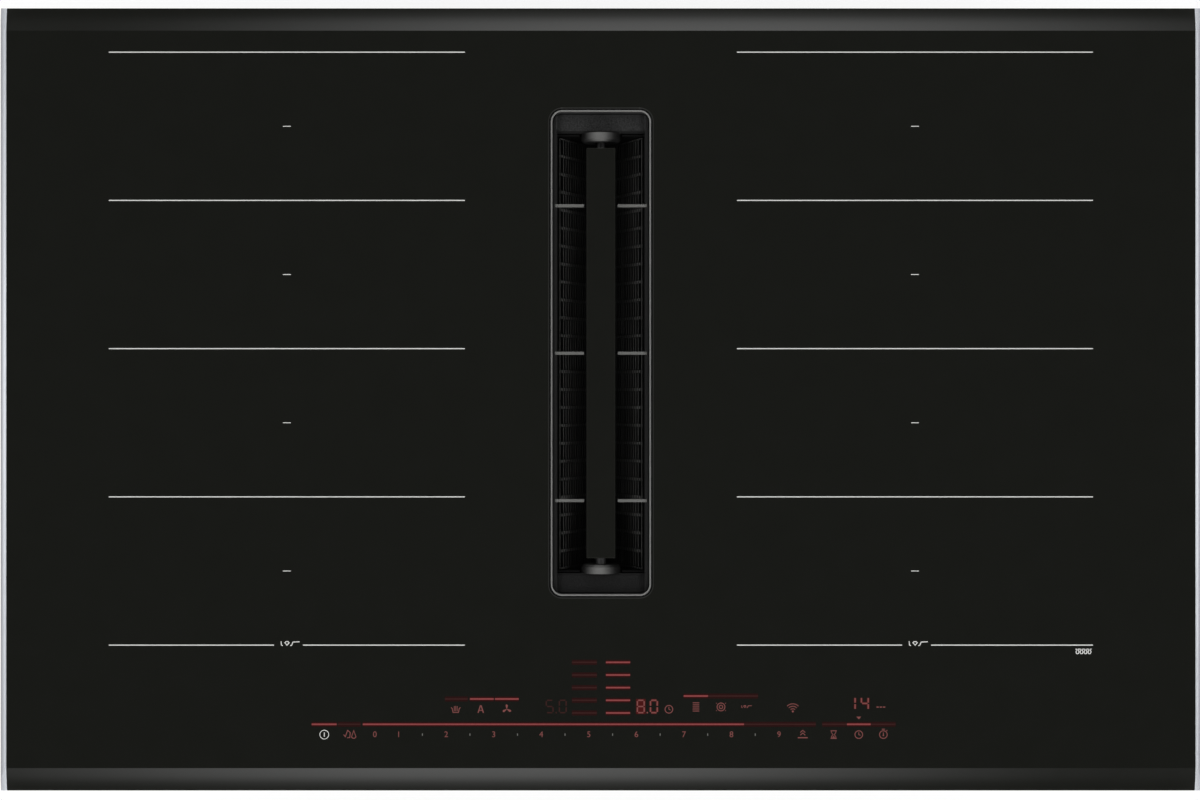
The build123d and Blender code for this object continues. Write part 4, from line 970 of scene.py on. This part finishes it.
# Studio: a white floor and a ceiling that is dark overhead, with soft light fore, aft and at both sides
FLOOR_REACH = 30.0
FLOOR_COLOUR = (0.86, 0.86, 0.86)
FLOOR_ROUGHNESS = 0.9
FLOOR_GLOW = 1.1
FLOOR_WHITE = 0.7
ZENITH_LIGHT = 0.085
HORIZON_LIGHT = 0.7
BAND_LIGHT = 1.95
BAND_END_LIGHT = 0.15
BAND_SKEW = 0.05
SIDE_LIGHT = 1.9
HORIZON_RISE = 0.001
CEILING_RISE = (0.30, 0.72)
BAND_HALF = (0.02, 0.31)
BAND_NEAR = (0.24, 0.32)
BAND_FAR = (0.36, 0.58)
SIDE_NEAR = (0.29, 0.37)
SIDE_FAR = (0.45, 0.9)
LAMP_SIZE = (1.6, 1.2)
LAMPS = (
    ((-2.6, 0.0, 1.9), 5.0),
    ((2.6, 0.0, 1.9), 5.0),
    ((0.0, -2.6, 1.7), 44.0),
    ((0.0, 2.6, 1.7), 8.0),
)


def make_floor():
    data = bpy.data.meshes.new("floor")
    r = FLOOR_REACH
    data.from_pydata([(-r, -r, 0), (r, -r, 0), (r, r, 0), (-r, r, 0)], [], [(0, 1, 2, 3)])
    floor = bpy.data.objects.new("floor", data)
    bpy.context.scene.collection.objects.link(floor)
    material, tree, shader = plain_material("floor_white")
    shader.inputs["Base Color"].default_value = (*FLOOR_COLOUR, 1)
    shader.inputs["Roughness"].default_value = FLOOR_ROUGHNESS
    white = add_node(tree, "ShaderNodeEmission", Strength=FLOOR_GLOW)
    path = add_node(tree, "ShaderNodeLightPath")
    seen = math_of(tree, "MAXIMUM", path.outputs["Is Camera Ray"], path.outputs["Is Glossy Ray"])
    seen = math_of(tree, "MAXIMUM", seen, path.outputs["Is Transmission Ray"])
    mix = add_node(tree, "ShaderNodeMixShader")
    tree.links.new(math_of(tree, "MULTIPLY", seen, FLOOR_WHITE), mix.inputs["Fac"])
    tree.links.new(shader.outputs[0], mix.inputs[1])
    tree.links.new(white.outputs[0], mix.inputs[2])
    tree.links.new(mix.outputs[0], tree.nodes["Material Output"].inputs["Surface"])
    data.materials.append(material)


def make_world():
    world = bpy.data.worlds.new("studio")
    bpy.context.scene.world = world
    world.use_nodes = True
    tree = world.node_tree
    place = add_node(tree, "ShaderNodeTexCoord").outputs["Generated"]
    rise = part_of(tree, place, "Z")
    height = math_of(tree, "MAXIMUM", rise, HORIZON_RISE)
    right = math_of(tree, "DIVIDE", part_of(tree, place, "X"), height)
    back = math_of(tree, "DIVIDE", part_of(tree, place, "Y"), height)
    across = math_of(tree, "ABSOLUTE", right)
    along = math_of(tree, "ABSOLUTE", back)
    ceiling = ease(tree, rise, CEILING_RISE, HORIZON_LIGHT, ZENITH_LIGHT)
    skew = math_of(tree, "MULTIPLY", math_of(tree, "SIGN", back), BAND_SKEW)
    off_band = math_of(tree, "ABSOLUTE", math_of(tree, "SUBTRACT", right, skew))
    band = ease(tree, off_band, BAND_HALF, BAND_LIGHT, BAND_END_LIGHT)
    band = math_of(tree, "MULTIPLY", band, ease(tree, along, BAND_NEAR, 0.0, 1.0))
    band = math_of(tree, "MULTIPLY", band, ease(tree, along, BAND_FAR, 1.0, 0.0))
    sides = ease(tree, across, SIDE_NEAR, 0.0, SIDE_LIGHT)
    sides = math_of(tree, "MULTIPLY", sides, ease(tree, across, SIDE_FAR, 1.0, 0.0))
    total = math_of(tree, "ADD", math_of(tree, "ADD", ceiling, band), sides)
    background = tree.nodes["Background"]
    background.inputs["Color"].default_value = (1.0, 1.0, 1.0, 1)
    tree.links.new(total, background.inputs["Strength"])


def make_lamps():
    for place, power in LAMPS:
        data = bpy.data.lights.new("soft_lamp", "AREA")
        data.shape = "RECTANGLE"
        data.size, data.size_y = LAMP_SIZE
        data.energy = power
        lamp = bpy.data.objects.new("soft_lamp", data)
        bpy.context.scene.collection.objects.link(lamp)
        lamp.location = Vector(place) + Vector((0, 0, plate_z))
        aim = Vector((0, 0, plate_z)) - lamp.location
        lamp.rotation_euler = aim.to_track_quat("-Z", "Y").to_euler()


def make_camera():
    data = bpy.data.cameras.new("camera")
    data.sensor_width = SENSOR_WIDTH * MILLIMETRES_IN_METRE
    data.lens = data.sensor_width * CAMERA_HEIGHT / (plate_width - FRAME_CROP)
    camera = bpy.data.objects.new("camera", data)
    bpy.context.scene.collection.objects.link(camera)
    camera.location = (*CAMERA_OFFSET, plate_z + CAMERA_HEIGHT)
    bpy.context.scene.camera = camera


make_floor()
make_world()
make_lamps()
make_camera()
bpy.context.scene.view_settings.view_transform = "Standard"
